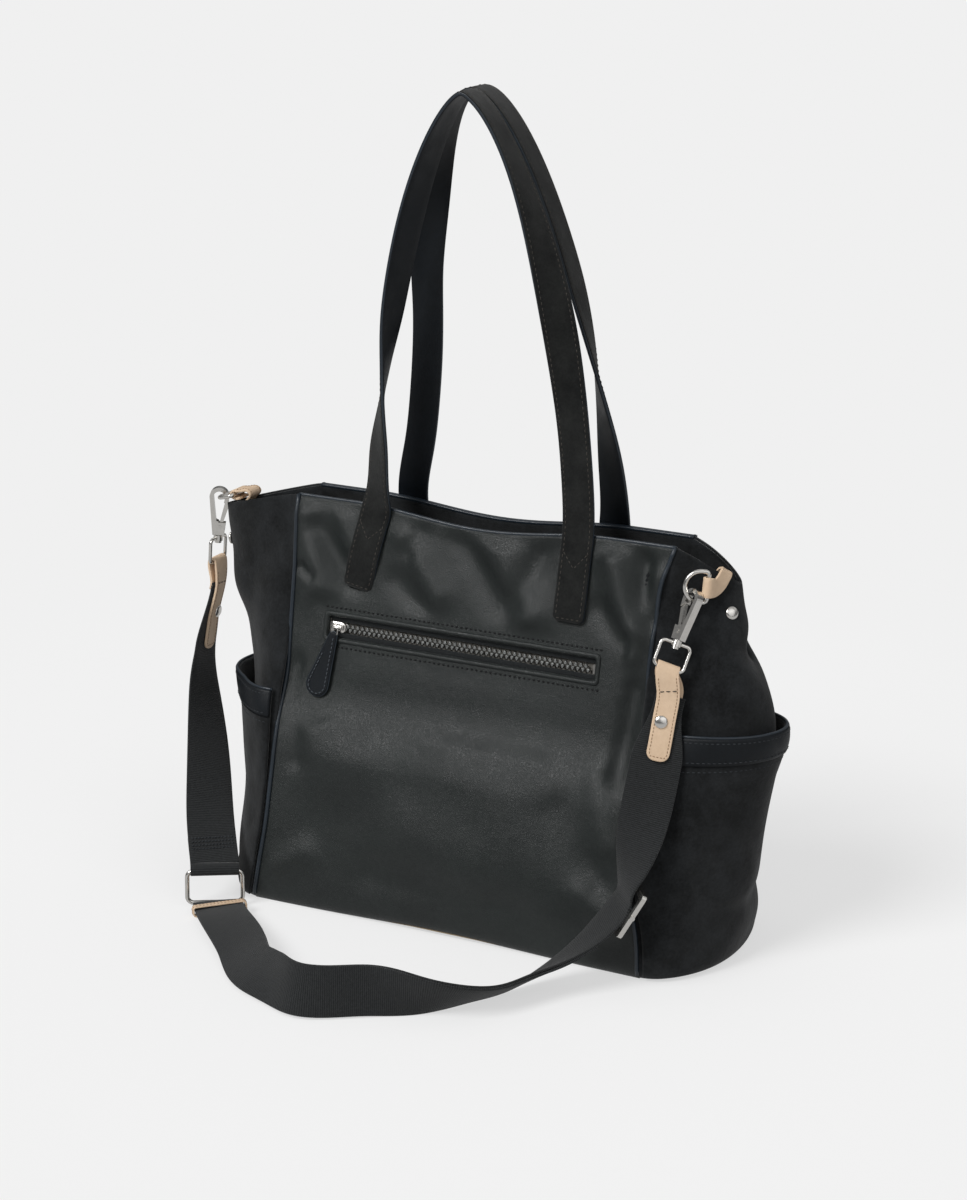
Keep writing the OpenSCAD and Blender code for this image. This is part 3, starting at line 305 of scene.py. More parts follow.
def strap(p, w, half, lo, hi, edge=0.5, ends=(0.0, 0.0), crown=0.0, ripple=None):
    """Points, faces and uv of a strap along p, its width along w."""
    a, f = strap_frame(p, w)
    s = steps(p)
    hs = round_ends(s, half, *ends)
    rings, uv = [], []
    for i in range(len(p)):
        q = profile(hs[i], lo, hi, edge)
        x, y = q[:, 0], q[:, 1].copy()
        y += crown * (1 - (x / hs[i]) ** 2)
        if ripple is not None:
            y += ripple(s[i], x)
        rings.append(p[i] + a[i] * x[:, None] + f[i] * y[:, None])
        uv.append(np.stack([np.full(len(x), s[i]), x + (y < (lo + hi) / 2) * 200], 1))
    return np.concatenate(rings), ring_faces(len(p), len(rings[0])), np.concatenate(uv)


# one stitch: places along it, its thickness and its height there, in shares of its length and radius
STITCH_AT, STITCH_R, STITCH_LIFT = A(0, .18, .5, .82, 1), A(.45, .9, 1, .9, .45), A(-.9, .1, .55, .1, -.9)


def stitch_run(soup, pts, outs, pitch, length, r, sink=0.12):
    """Small threads along pts, lying on a surface whose outward directions are outs."""
    s = steps(pts)
    count = int((s[-1] - length) / pitch) + 1
    start = (s[-1] - (count - 1) * pitch - length) / 2
    cos, sin = circle(6)
    for c in range(count):
        at = start + c * pitch + STITCH_AT * length
        p, o = sample(pts, s, at), unit(sample(outs, s, at))
        side = unit(np.cross(o, unit(p[-1] - p[0])))
        p = p + o * (STITCH_LIFT[:, None] * r - sink)
        rings = p[:, None] + r * STITCH_R[:, None, None] * (o[:, None] * cos * .8 + side[:, None] * sin)
        soup.add(rings.reshape(-1, 3), ring_faces(len(STITCH_AT), 6))


def stitch_row(soup, p, a, n, at, half, h, *kind):
    """Stitches across a strap, a distance along it and h out of its middle."""
    i = int(np.argmin(np.abs(steps(p) - at)))
    row = p[i] + a[i] * A(-half, half)[:, None] + n[i] * h
    stitch_run(soup, row, np.tile(n[i] * np.sign(h), (2, 1)), *kind)


def dome(o, out, r, h, base):
    """Rivet head at o facing out."""
    u = unit(np.cross(out, A(0.3, 0.2, 1)))
    v = np.cross(out, u)
    cos, sin = circle(28)
    rows = [(r * 0.97, -base), (r, 0.0)]
    rows += [(r * math.cos(a), 0.25 + (h - 0.25) * math.sin(a)) for a in np.linspace(0.12, 1.5, 7)]
    rings = [o + out * z + rr * (u * cos + v * sin) for rr, z in rows]
    return np.concatenate(rings), ring_faces(len(rows), 28)


# ---------------------------------------------------------------- from a pixel of the photograph to a surface
def world_points(o):
    """A piece's points in metres."""
    co = np.empty(len(o.data.vertices) * 3)
    o.data.vertices.foreach_get("co", co)
    m = np.array(o.matrix_world)
    return co.reshape(-1, 3) @ m[:3, :3].T + m[:3, 3]


FOCAL = CAM_LENS / CAM_SENSOR * max(IMAGE_W, IMAGE_H)      # in pixels


def pixels(pts):
    """Places in the photograph of points in metres."""
    m = np.array(CAMERA.matrix_world.inverted())
    q = np.asarray(pts) @ m[:3, :3].T + m[:3, 3]
    k = FOCAL / -q[:, 2]
    return np.stack([IMAGE_W / 2 + q[:, 0] * k, IMAGE_H / 2 - q[:, 1] * k], 1)


def on_surface(px, o):
    """Place and outward direction on piece o that show at a pixel of the photograph; a miss takes the nearest."""
    d = (CAMERA.matrix_world.to_3x3() @ Vector((px[0] - IMAGE_W / 2, IMAGE_H / 2 - px[1], -FOCAL))).normalized()
    at = CAMERA.matrix_world.translation
    pts = [Vector(q) for q in world_points(o)]
    tree = BVHTree.FromPolygons(pts, [tuple(f.vertices) for f in o.data.polygons])
    hit, out = tree.ray_cast(at, d)[:2]
    if hit is None:
        hit = min(pts, key=lambda q: (q - at - d * (q - at).dot(d)).length)
        out = -d
    return np.array(hit) / MM, np.array(out if out.dot(d) < 0 else -out)


# ---------------------------------------------------------------- shape of the bag, as in part.scad
BAG_H, BASE_W, RIM_W, BASE_D, RIM_D = 317.0, 330.0, 316.0, 166.0, 38.0
SKIN_T, FIT = 2.2, 0.3
RIM_SAG, SAG_HALF = 8.0, 110.0
SWELL_AT = [0, .15, .30, .60, .80, .9, 1]
SWELL = {LEFT: [34, 35, 35, 48, 66, 71, 75.5], RIGHT: [48, 54, 57, 70, 56, 48, 42]}
DROOP = {LEFT: 21.0, RIGHT: 28.0}
FOLD = {LEFT: 0.0, RIGHT: 12.0}
POCKET_H = {LEFT: 168.0, RIGHT: 184.0}
GAPE = {LEFT: 11.0, RIGHT: 5.0}
POCKET_T, BAND_H, BAND_T, PIPING_R = 1.8, 20.0, 1.6, 1.7
LEAN = math.atan((BASE_D - RIM_D) / 2 / BAG_H)
PANEL_L = BAG_H / math.cos(LEAN)
swell_curve = {s: spline(SWELL_AT, SWELL[s]) for s in (LEFT, RIGHT)}
# how far the seams are pulled in and pushed out, by share of the way down from the rim
PULL_AT = [0, .1, .2, .3, .4, .5, .6, .7, .8, .88, 1]
PULL = {LEFT: [0, 3, 4.7, 5.8, 7.2, 7.4, 9, 9, 8.4, 5.5, 0], RIGHT: [0, 8.4, 11, 12.3, 11.9, 11.8, 12, 11, 9, 3, 0]}
BULGE = [0, 0, 0, 1.5, 5.5, 8.5, 9.5, 9.5, 8.5, 5.5, 0]
pull_curve = {s: spline(PULL_AT, PULL[s]) for s in (LEFT, RIGHT)}
bulge_curve = spline(PULL_AT, BULGE)
FOOT_R = 9.0              # radius with which the walls turn under
UNDER_PANEL = 0.9         # share of that turn which the panels take part in
EDGE_X = 124.0            # inside this the panels keep their straight columns
ARCH_W = 95.0             # the base is a little raised in the middle, fading out over this width
FOOT_ROWS = [0.2, 1.2, 2.6, 4.4, 6.6, 9]      # heights of the skins' rows where the walls turn under
# the front zip: its window, its parts, their heights over the panel's plane, and the pull
ZIP_LEN, ZIP_W, ZIP_X, ZIP_V = 226.0, 16.0, -8.0, 225.0
WELT_W, WELT_T, TOOTH_PITCH, TOOTH_L, CHANNEL = 4.0, 1.2, 4.2, 3.0, 1.3
TAPE_N, STOP_L, SLIDER_L = -2.6, 1.5, 13.0
ZIP_L, ZIP_R = ZIP_X - ZIP_LEN / 2, ZIP_X + ZIP_LEN / 2
TOP_N = TAPE_N + 1.2 + 0.15
BAIL_N = TOP_N + 1.3 + 2.9
SLIDER_X = ZIP_L + STOP_L + SLIDER_L / 2
PULL_TILT = math.radians(-14)
PULL_L, PULL_W, LINK_L, PULL_T = 52.0, 19.0, 10.0, 2.6
PULL_TOP, PULL_SWAY = 221.0, 13.0      # where the folds make room for the pull: its top, and its foot's way left


def half_w(z): return mix(BASE_W, RIM_W, z / BAG_H) / 2
def half_d(z): return mix(BASE_D, RIM_D, z / BAG_H) / 2
def rim_share(z): return smooth((z / BAG_H - .70) / .30)
def pinch(z): return mix(1, 1.7, smooth((z / BAG_H - .62) / .38))
def down(z): return np.clip(1 - z / BAG_H, 0, 1)
def pull(side, z): return pull_curve[side](down(z))
def bulge(z): return bulge_curve(down(z))
def sag(x): return np.where(np.abs(x) > SAG_HALF, 0, RIM_SAG * (1 + np.cos(np.pi * np.asarray(x) / SAG_HALF)) / 2)
def under(z): return FOOT_R - np.sqrt(np.clip(FOOT_R ** 2 - np.clip(FOOT_R - z, 0, FOOT_R) ** 2, 0, None))


def on_panel(x, v, n, face=FRONT):
    """Point x along and v up the plane of a panel, n in front of it."""
    x, v, n = np.broadcast_arrays(np.asarray(x, float), v, n)
    y = BASE_D / 2 - v * math.sin(LEAN) + n * math.cos(LEAN)
    return np.stack([x, face * y, v * math.cos(LEAN) + n * math.sin(LEAN)], -1)


OUT_FRONT = A(0, -math.cos(LEAN), math.sin(LEAN))
OUT_BACK = A(0, math.cos(LEAN), math.sin(LEAN))


def ridge(x, v, x0, v0, x1, v1, w, h):
    """A soft fold along a line on a panel: width w, height h, fading out past both ends."""
    d = A(x1 - x0, v1 - v0)
    length = np.linalg.norm(d)
    d = d / length
    s = (x - x0) * d[0] + (v - v0) * d[1]
    c = -(x - x0) * d[1] + (v - v0) * d[0]
    e = np.clip(np.maximum(-s, s - length), 0, None)
    return h * np.exp(-(c / w) ** 2 - (e / w) ** 2)


FRONT_FOLDS = [
    # x0, v0, x1, v1, width, height
    (-150, 318, -132, 250, 13, 3.4), (-138, 300, -104, 262, 9, -2.6), (-122, 322, -108, 292, 8, 2.2),
    (-60, 300, -30, 262, 10, 3.0), (-66, 268, -44, 250, 9, -2.0), (-48, 318, -58, 292, 8, -2.4),
    (8, 312, 48, 258, 14, 3.6), (-16, 310, 22, 262, 11, -3.0), (58, 318, 36, 268, 9, -2.2),
    (112, 306, 128, 262, 10, 4.0), (134, 318, 142, 268, 8, -3.2), (104, 270, 124, 250, 9, -2.2),
    (146, 300, 134, 240, 7, 2.4),
    (-148, 268, -139, 262, 4, -2.2), (-96, 196, -128, 150, 22, 2.6), (-40, 190, 60, 186, 24, 2.0),
    (0, 168, 96, 60, 34, 2.4), (96, 120, 128, 70, 13, -2.4), (120, 148, 134, 100, 10, 2.0),
    (-110, 70, -40, 110, 26, -2.0), (-80, 118, 20, 60, 28, 1.8), (70, 150, 110, 104, 15, 1.6),
    (-142, 190, -134, 120, 9, -1.8), (138, 214, 132, 150, 8, -2.6), (120, 60, 142, 38, 9, 1.8),
    (-60, 40, 60, 34, 14, -1.6), (-30, 206, 70, 204, 5, -0.8), (-120, 46, -142, 30, 10, 1.6),
]
BACK_FOLDS = [
    (-146, 316, -120, 250, 14, 3.2), (-60, 316, -20, 250, 16, 3.0), (20, 318, 60, 262, 13, -2.6),
    (110, 316, 134, 250, 12, 3.2), (-100, 230, 80, 200, 30, 2.6), (-120, 160, -60, 90, 28, -2.4),
    (20, 150, 110, 80, 32, 2.6), (-30, 100, 50, 50, 26, -2.0), (126, 200, 134, 110, 12, -2.2),
    (-136, 210, -132, 120, 12, 2.2), (-90, 290, -74, 262, 9, -2.4), (82, 300, 98, 262, 9, 2.6),
]


def fold_depth(x, v, face):
    """Height of a panel's soft folds."""
    total = np.zeros(np.broadcast(x, v).shape)
    folds, deep, wide = (FRONT_FOLDS, 2.05, 1.15) if face == FRONT else (BACK_FOLDS, 1.0, 1.0)
    for *line, w, h in folds:
        total = total + ridge(x, v, *line, w * wide, h * deep)
    if face == FRONT:      # calm round the zip, whose parts stay on the flat panel
        along, up = np.abs(x - ZIP_X), np.abs(v - ZIP_V)
        total = total * smooth(np.hypot(np.clip(along - 121, 0, None) / 22, np.clip(up - 14, 0, None) / 16))
        # and under the pull, which hangs from the slider
        k = np.clip((PULL_TOP - v) / PULL_L, 0, 1)
        off = np.hypot(x - SLIDER_X + PULL_SWAY * k, v - PULL_TOP + PULL_L * k)
        total = total * smooth((off - 13) / 14)
        # and along the pull's way when the slider moves
        total = total * (1 - 0.85 * smooth((v - 148) / 16) * smooth((228 - v) / 8) * smooth((134 - along) / 14))
        total = total + 0.9 * np.sin(x / 37 + v / 61) * smooth((170 - v) / 40)
    else:
        total = total + 1.4 * np.sin(x / 41 + v / 57 + 1.0)
    return total * smooth((PANEL_L - sag(x) - v) / 16) * smooth((v - 6) / 30)


def panel_out(x, v, face):
    """How far a panel's skin stands in front of its plane."""
    z = v * math.cos(LEAN)
    middle = 1 - (np.abs(x) / (BASE_W / 2)) ** 2
    belly = bulge(z) * (1 + 0.6 * middle)
    if face == FRONT:
        belly = bulge(z) * smooth((182 - v) / 62) * (1 + 0.55 * middle)
    return belly + fold_depth(x, v, face) * smooth((BASE_W / 2 - np.abs(x)) / 14) - under(z) * UNDER_PANEL


def panel_x(nominal, z):
    """Nominal columns, even over the base, moved to where they are at height z."""
    x = np.asarray(nominal, float)
    out = x + 0 * z
    for side in (LEFT, RIGHT):
        share = (side * x - EDGE_X) / (BASE_W / 2 - EDGE_X)
        goal = side * (EDGE_X + share * (half_w(z) - pull(side, z) - EDGE_X))
        out = np.where(share > 0, goal, out)
    return out


def panel_grid(face):
    """Columns, rows and skin of a panel; rows and columns meet the edges of the zip's window."""
    xs = np.concatenate([np.linspace(-BASE_W / 2, -EDGE_X, 18), np.linspace(ZIP_L, ZIP_R, 80),
                         np.linspace(107, EDGE_X, 6), np.linspace(126, BASE_W / 2, 17)])
    vs = np.concatenate([FOOT_ROWS, np.linspace(12, 215, 66), np.linspace(ZIP_V - ZIP_W / 2, ZIP_V + ZIP_W / 2, 6),
                         np.linspace(236, PANEL_L, 30)])
    X, V = np.meshgrid(xs, vs)
    Z = V * math.cos(LEAN)
    X = panel_x(X, Z)
    V = V - sag(X) * rim_share(Z)
    lift = 3.0 * np.exp(-(X / ARCH_W) ** 2) * smooth((60 - V) / 60)
    return xs, vs, on_panel(X, V + lift, panel_out(X, V, face), face)


def gusset(side, z, a, o=0.0):
    """Smooth skin of a side; a runs from the front seam (0) to the back seam (180 degrees)."""
    z, a = np.broadcast_arrays(np.asarray(z, float), np.asarray(a, float))
    r = np.radians(a)
    sn, cs = np.clip(np.sin(r), 0, 1), np.cos(r)
    near = np.abs(cs) ** 3
    x = half_w(z) - pull(side, z) * near + (swell_curve[side](z / BAG_H) + o) * sn ** pinch(z) - under(z) * sn
    y = FOLD[side] * sn * sn * rim_share(z) - (half_d(z) + o + bulge(z) * near - under(z) * UNDER_PANEL) * cs
    return np.stack([side * x, y, z - DROOP[side] * sn * sn * rim_share(z)], -1)


SIDE_FOLDS = {
    # height, angle, half width in degrees, share of the bag's height, half height, lean in degrees for each share
    LEFT: [(-2.6, 40, 14, .80, .12, -90), (2, 80, 22, .74, .07, 0), (-2.5, 75, 30, .66, .05, 0)],
    RIGHT: [(-7.5, 96.6, 26, .79, .055, 160), (3, 60, 20, .70, .06, 0), (-4, 35, 16, .86, .10, 0),
            (-3, 100, 40, .14, .03, 0), (2, 100, 40, .07, .04, 0)],
}


def side_folds(side, z, a):
    """Soft folds of the suede sides, outward in millimetres; a in degrees."""
    t = z / BAG_H
    w = 1.6 * np.sin(np.radians(a * 3.1) + 5 * t + side) * smooth((t - .45) / .3)
    w = w + 1.1 * np.sin(np.radians(a * 5.3) - 7 * t + 2 * side)
    w = w + 1.0 * np.sin(t * 19 + np.radians(a * 1.4) + side)
    for h, a0, wide, t0, high, lean in SIDE_FOLDS[side]:
        w = w + h * np.exp(-((a - a0 - (t - t0) * lean) / wide) ** 2 - ((t - t0) / high) ** 2)
    ends = smooth(a / 16) * smooth((180 - a) / 16)
    return w * ends * smooth(t / .05) * (1 - 0.55 * smooth((t - .93) / .07))


def side_normal(side, z, a):
    """Outward direction of a side's smooth skin."""
    e = 0.5
    da = gusset(side, z, np.clip(a + e, 0, 180)) - gusset(side, z, np.clip(a - e, 0, 180))
    dz = gusset(side, z + e, a) - gusset(side, z - e, a)
    n = np.cross(da, dz) * side
    return n / np.maximum(np.linalg.norm(n, axis=-1, keepdims=True), 1e-9)


def side_skin(side, z, a, o=0.0):
    """Folded skin of a side, o further out."""
    return gusset(side, z, a, o) + side_normal(side, z, a) * side_folds(side, z, a)[..., None]


# ---------------------------------------------------------------- materials
def srgb(r, g, b):
    def lin(c):
        c /= 255
        return c / 12.92 if c <= 0.04045 else ((c + 0.055) / 1.055) ** 2.4
    return (lin(r), lin(g), lin(b), 1)


def wire(tree, kind, inputs=(), **props):
    """A new node; inputs gives a value, or the output of another node, for some of its inputs."""
    n = tree.nodes.new(kind)
    for k, v in props.items():
        setattr(n, k, v)
    for k, v in dict(inputs).items():
        if isinstance(v, bpy.types.NodeSocket):
            tree.links.new(v, n.inputs[k])
        else:
            n.inputs[k].default_value = v
    return n


class Nodes:
    """A material's node tree, with short names for the nodes used here."""

    def __init__(self, name, rough=0.6, metal=0.0, **sockets):
        self.mat = bpy.data.materials.new(name)
        self.mat.use_nodes = True
        self.t = self.mat.node_tree
        self.bsdf = self.t.nodes["Principled BSDF"]
        for k, v in {"Roughness": rough, "Metallic": metal, **sockets}.items():
            self.bsdf.inputs[k.replace("_", " ")].default_value = v

    def place(self, kind="Object"):
        return wire(self.t, "ShaderNodeTexCoord").outputs[kind]

    def split(self, kind="Object"):
        return wire(self.t, "ShaderNodeSeparateXYZ", {0: self.place(kind)}).outputs

    def noise(self, scale, detail=3.0, rough=0.55):
        return wire(self.t, "ShaderNodeTexNoise", {"Scale": scale, "Detail": detail, "Roughness": rough,
                                                   "Vector": self.place()}).outputs["Fac"]

    def cells(self, scale):
        return wire(self.t, "ShaderNodeTexVoronoi", {"Scale": scale, "Vector": self.place()},
                    feature="DISTANCE_TO_EDGE").outputs["Distance"]

    def math(self, op, a, b=0.0):
        return wire(self.t, "ShaderNodeMath", {0: a, 1: b}, operation=op).outputs[0]

    def sine(self, value, wave):
        """Sine of a length in metres, with its wavelength in millimetres."""
        return self.math("SINE", self.math("MULTIPLY", value, 2 * math.pi / (wave * MM)))

    def total(self, *parts):
        """Sum of (value, weight) pairs."""
        out = None
        for value, weight in parts:
            part = value if weight == 1 else self.math("MULTIPLY", value, weight)
            out = part if out is None else self.math("ADD", out, part)
        return out

    def span(self, value, a, b, c=0, d=1):
        return wire(self.t, "ShaderNodeMapRange", {"Value": value, "From Min": a, "From Max": b, "To Min": c,
                                                   "To Max": d}).outputs["Result"]

    def shade(self, tone, lo, hi, dark, light):
        """Colour from dark to light as the tone goes from lo to hi."""
        mixed = wire(self.t, "ShaderNodeMix", {"Factor": self.span(tone, lo, hi), 6: dark, 7: light}, data_type="RGBA")
        self.feed("Base Color", mixed.outputs[2])

    def feed(self, socket, out):
        self.t.links.new(out, self.bsdf.inputs[socket])

    def bump(self, *layers):
        """Each layer is (height, strength, distance in metres)."""
        last = {}
        for h, strength, dist in layers:
            n = wire(self.t, "ShaderNodeBump", {"Strength": strength, "Distance": dist, "Height": h, **last})
            last = {"Normal": n.outputs["Normal"]}
        self.feed("Normal", last["Normal"])


def darker(colour, k):
    return tuple(c * k for c in colour[:3]) + (1,)


def leather(name, dark, light, rough, grain=0.5, spec=0.5, wrinkle=0.0):
    m = Nodes(name, Specular_IOR_Level=spec)
    m.shade(m.total((m.noise(14, 4), .65), (m.noise(260, 2), .35)), .3, .7, dark, light)
    m.feed("Roughness", m.span(m.noise(60), .3, .7, *rough))
    m.bump((m.noise(26, 4, 0.6), wrinkle, 0.003), (m.noise(95), 0.22, 0.0006),
           (m.span(m.cells(1150), 0, .35), grain, 0.00022), (m.noise(2600, 2), 0.18, 0.0001))
    return m.mat


def suede(name, dark, light, scale=1.0):
    m = Nodes(name, rough=0.95, Specular_IOR_Level=0.12, Sheen_Weight=0.14, Sheen_Roughness=0.55)
    nap = m.noise(420 * scale, 4, 0.7)
    brushed, strokes = m.noise(22 * scale, 5, 0.62), m.noise(75 * scale, 4, 0.6)
    m.shade(m.total((brushed, .45), (nap, .3), (strokes, .25)), .4, .6, dark, light)
    m.feed("Roughness", m.span(nap, .3, .7, .88, 1.0))
    m.bump((m.noise(8), 0.6, 0.016), (m.noise(24, 4), 0.4, 0.004), (m.noise(140), 0.3, 0.0006), (nap, 0.55, 0.0004),
           (m.noise(2200, 3, 0.7), 0.5, 0.0002))
    return m.mat


def metal(name, colour, rough, wear=0.08):
    m = Nodes(name, rough=rough, metal=1.0)
    m.shade(m.noise(180, 4), .3, .7, darker(colour, .9), colour)
    m.feed("Roughness", m.span(m.noise(420), .3, .7, rough, rough + wear))
    m.bump((m.noise(900, 2), 0.03, 0.0001))
    return m.mat


def webbing_cloth(name, dark, light, pitch=1.5, across=1.25):
    """Ribbed weave in the uv of a strap: u along it, v across it, in metres."""
    m = Nodes(name, rough=0.9, Specular_IOR_Level=0.2, Sheen_Weight=0.15, Sheen_Roughness=0.5)
    u, v = m.split("UV")[:2]
    weave = m.math("MULTIPLY", m.sine(u, pitch), m.sine(v, across))
    ribs = m.math("ABSOLUTE", m.sine(u, 2 * pitch))
    yarn = m.total((weave, .35), (ribs, 1))
    m.shade(m.total((m.span(yarn, -.3, 1.3), .55), (m.noise(700), .45)), .25, .8, dark, light)
    m.bump((m.noise(60), 0.2, 0.0008), (yarn, 0.6, 0.00035), (m.noise(3000, 2), 0.3, 0.0001))
    return m.mat


def cloth(name, dark, light, pitch=0.9):
    m = Nodes(name, rough=0.95, Specular_IOR_Level=0.15)
    x, y, z = m.split()
    weave = m.math("MULTIPLY", m.sine(m.total((x, 1), (y, .7)), pitch), m.sine(z, pitch))
    m.shade(m.total((m.span(weave, -1, 1), .4), (m.noise(40, 4), .6)), .25, .75, dark, light)
    m.bump((m.noise(45, 4), .3, .001), (weave, .4, .0002))
    return m.mat


def thread(name, colour):
    m = Nodes(name, rough=0.7, Specular_IOR_Level=0.35)
    twist = m.noise(2400, 2)
    m.shade(twist, .3, .7, darker(colour, .7), colour)
    m.bump((twist, .4, .0002))
    return m.mat


LEATHER = leather("black_leather", srgb(21, 25, 25), srgb(32, 37, 36), rough=(0.39, 0.52), spec=0.43, wrinkle=0.26)
BAND = leather("band_leather", srgb(7, 11, 15), srgb(13, 19, 25), rough=(0.4, 0.54), grain=0.3, spec=0.27)
SUEDE = suede("black_suede", srgb(9, 11, 12), srgb(35, 37, 39))
HANDLE_SUEDE = suede("handle_suede", srgb(13, 14, 14), srgb(34, 35, 34), 1.3)
EDGE = leather("edge_paint", srgb(26, 33, 40), srgb(38, 47, 56), rough=(0.3, 0.42), grain=0.1)
TAN = leather("tan_leather", srgb(210, 182, 152), srgb(228, 202, 174), rough=(0.5, 0.66), grain=0.35, spec=0.4)
WEB = webbing_cloth("webbing", srgb(8, 9, 10), srgb(50, 52, 53))
TAPE = webbing_cloth("zip_tape", srgb(16, 19, 21), srgb(32, 36, 38), 0.8, 0.8)
LINING = cloth("lining_cloth", srgb(96, 94, 90), srgb(122, 119, 114))
BOARD = cloth("board", srgb(128, 112, 90), srgb(150, 134, 110), 3.0)
NICKEL = metal("nickel", (0.79, 0.77, 0.735, 1), 0.17)
TEETH = metal("zip_metal", (0.40, 0.41, 0.40, 1), 0.26, 0.12)
DARK_THREAD = thread("dark_thread", srgb(44, 48, 52))
BLACK_THREAD = thread("black_thread", srgb(8, 9, 11))
# grey-blue thread, made paler than it is so that its colour also paints the highlight on the pull's raised stitch line
PALE_THREAD_AND_HIGHLIGHT = thread("pale_thread_painted_highlight", srgb(78, 84, 90))
HANDLE_THREAD = thread("handle_thread", srgb(64, 60, 55))
TAN_THREAD = thread("tan_thread", srgb(140, 104, 72))
SLOT_OF = {"handle_suede": "black_suede", "tan_thread": "tan_leather", **dict.fromkeys(
    ("band_leather", "dark_thread", "handle_thread", "black_thread", "pale_thread_painted_highlight"), "black_leather")}


def finish_piece(o, body, *replaced):
    """Attaches the piece to its body and hides the CAD nodes it stands for; the material's name is read but not used.
    """
    name = o.data.materials[0].name.split(".")[0]
    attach(o, body)
    if replaced:
        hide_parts(*replaced)
    return o


def piece(name, mat, body, mesh, *replaced):
    """A finished piece from one mesh's points, faces and, if it has them, uv."""
    v, f, *uv = mesh
    return finish_piece(build(name, v, f, mat, uv=uv[0] if uv else None), body, *replaced)


# ---------------------------------------------------------------- cords: the shoulder strap
WEB_W, WEB_T = 38.0, 1.8
# runs of the webbing: each row is a place on its middle and the direction across it
SHORT_RUN = [
    (-243, -2, 229, -0.1, 1, 0), (-247, -6, 205, -0.1, 1, 0), (-252, -10, 168, -0.1, 1, 0),
    (-243, -24, 136, 0.07, 1, 0), (-230, -42, 109, 0.28, 0.96, 0), (-217, -62, 84, 0.5, 0.87, 0),
    (-204, -82, 60, 0.71, 0.71, 0), (-192, -98, 43, 0.81, 0.59, 0), (-185, -107, 33.5, 0.85, 0.53, 0)]
LONG_LEG = [
    (170.1, -48.2, 213.8, 0.91, 0.41, 0), (168.5, -61.1, 183.4, 0.91, 0.41, 0), (166, -70, 150, 0.94, 0.34, 0),
    (163, -79, 118, 1, 0, 0), (160, -88, 90, 0.82, -0.57, 0), (159, -91.5, 76, 0.6, -0.8, -0.1),
    (158.5, -93.5, 66, 0.57, -0.81, -0.12)]
FLOOR_RUN = [
    (154, -97, 58, 0.57, -0.81, -0.12), (138, -108, 38, 0.56, -0.81, 0.05), (120, -126, 22, 0.45, -0.85, 0.25),
    (104, -150, 14, 0.3, -0.85, 0.4), (87, -182, 13, 0.3, -0.8, 0.5), (59, -213, 17.5, 0.2, -0.47, 0.85),
    (18, -229, 19.8, 0, 0.1, 1), (-12, -247, 19.8, -0.05, 0.2, 0.98), (-28, -251, 19.8, -0.15, 0.3, 0.94),
    (-55, -239, 18, -0.2, 0.62, 0.76), (-86, -218, 13, 0.03, 0.88, 0.47), (-114, -185, 10.5, 0.35, 0.87, 0.34),
    (-160, -137, 8, 0.78, 0.62, 0.1), (-174, -120, 5.2, 0.78, 0.62, 0.06), (-180, -113, 4.7, 0.85, 0.53, 0)]
WEB_GAP = 0.15


def route(run):
    rows = np.array(run, float)
    return rows[:, :3], rows[:, 3:]


def webbing(name, run, lo, hi, node, lift=None, gather=0.0):
    """One run of webbing; its piece, points, directions across and outward, and middle line."""
    p, w = fair(*route(run), 1.6)
    at = steps(p)
    if lift is not None:
        p = p + strap_frame(p, w)[1] * np.interp(at, *lift)[:, None]
    half = WEB_W / 2 * (1 - gather * (1 - smooth((at - 8) / 42)))      # drawn together where the tab holds it
    mesh = strap(p, w, half, lo, hi, edge=0.55, crown=-0.15, ripple=lambda s, x: 0.12 * np.sin(s / 19 + x / 9))
    o = piece(name, WEB, "bag", mesh, node, *(("strap_end_bars",) if gather else ()))
    n = strap_frame(p, w)[1]
    return o, p, w, n, p + n * (lo + hi) / 2


HALF_T = WEB_T / 2
short_web, short_p, short_w, short_n, short_c = webbing("webbing_short", SHORT_RUN, -HALF_T, HALF_T, "strap_short",
                                                        gather=0.46)
LEG_LEN = steps(route(LONG_LEG)[0])
LEG_LIFT = (LEG_LEN[[0, 4, 5, 6]].tolist() + [LEG_LEN[-1] + 10.2, LEG_LEN[-1] + 40],
            [0, 0, 1.5, 2.8, 1.8, 0.9 + WEB_GAP])
long_web, _, _, _, long_c = webbing("webbing_long", LONG_LEG + FLOOR_RUN, -HALF_T, HALF_T, "strap_long", LEG_LIFT, 0.42)
back_web, back_p, back_w, _, back_c = webbing("webbing_return", FLOOR_RUN[1:], -WEB_GAP - WEB_T, -WEB_GAP,
                                              "strap_return")

# ---------------------------------------------------------------- body
SIDES = ((LEFT, "left"), (RIGHT, "right"))
xs, vs, front_g = panel_grid(FRONT)
cell_x, cell_v = (xs[:-1] + xs[1:]) / 2, (vs[:-1] + vs[1:]) / 2
window = (np.abs(cell_v[:, None] - ZIP_V) < ZIP_W / 2) & (np.abs(cell_x - ZIP_X) < ZIP_LEN / 2)
finish_piece(shell("front_leather", front_g, SKIN_T, LEATHER, hole=window), "bag", "front_panel")
back_g = panel_grid(BACK)[2][:, ::-1]
finish_piece(shell("back_leather", back_g, SKIN_T, LEATHER), "bag", "back_panel")


def side_grid(side, zs, angles, o=0.0, skin=side_skin):
    Z, An = np.meshgrid(zs, angles, indexing="ij")
    if side == LEFT:
        Z, An = Z[:, ::-1], An[:, ::-1]
    return skin(side, Z, An, o)


for side, name in SIDES:
    g = side_grid(side, np.concatenate([FOOT_ROWS, np.linspace(12, BAG_H, 92)]), np.linspace(0, 180, 97))
    finish_piece(shell(name + "_suede", g, SKIN_T, SUEDE), "bag", name + "_gusset")


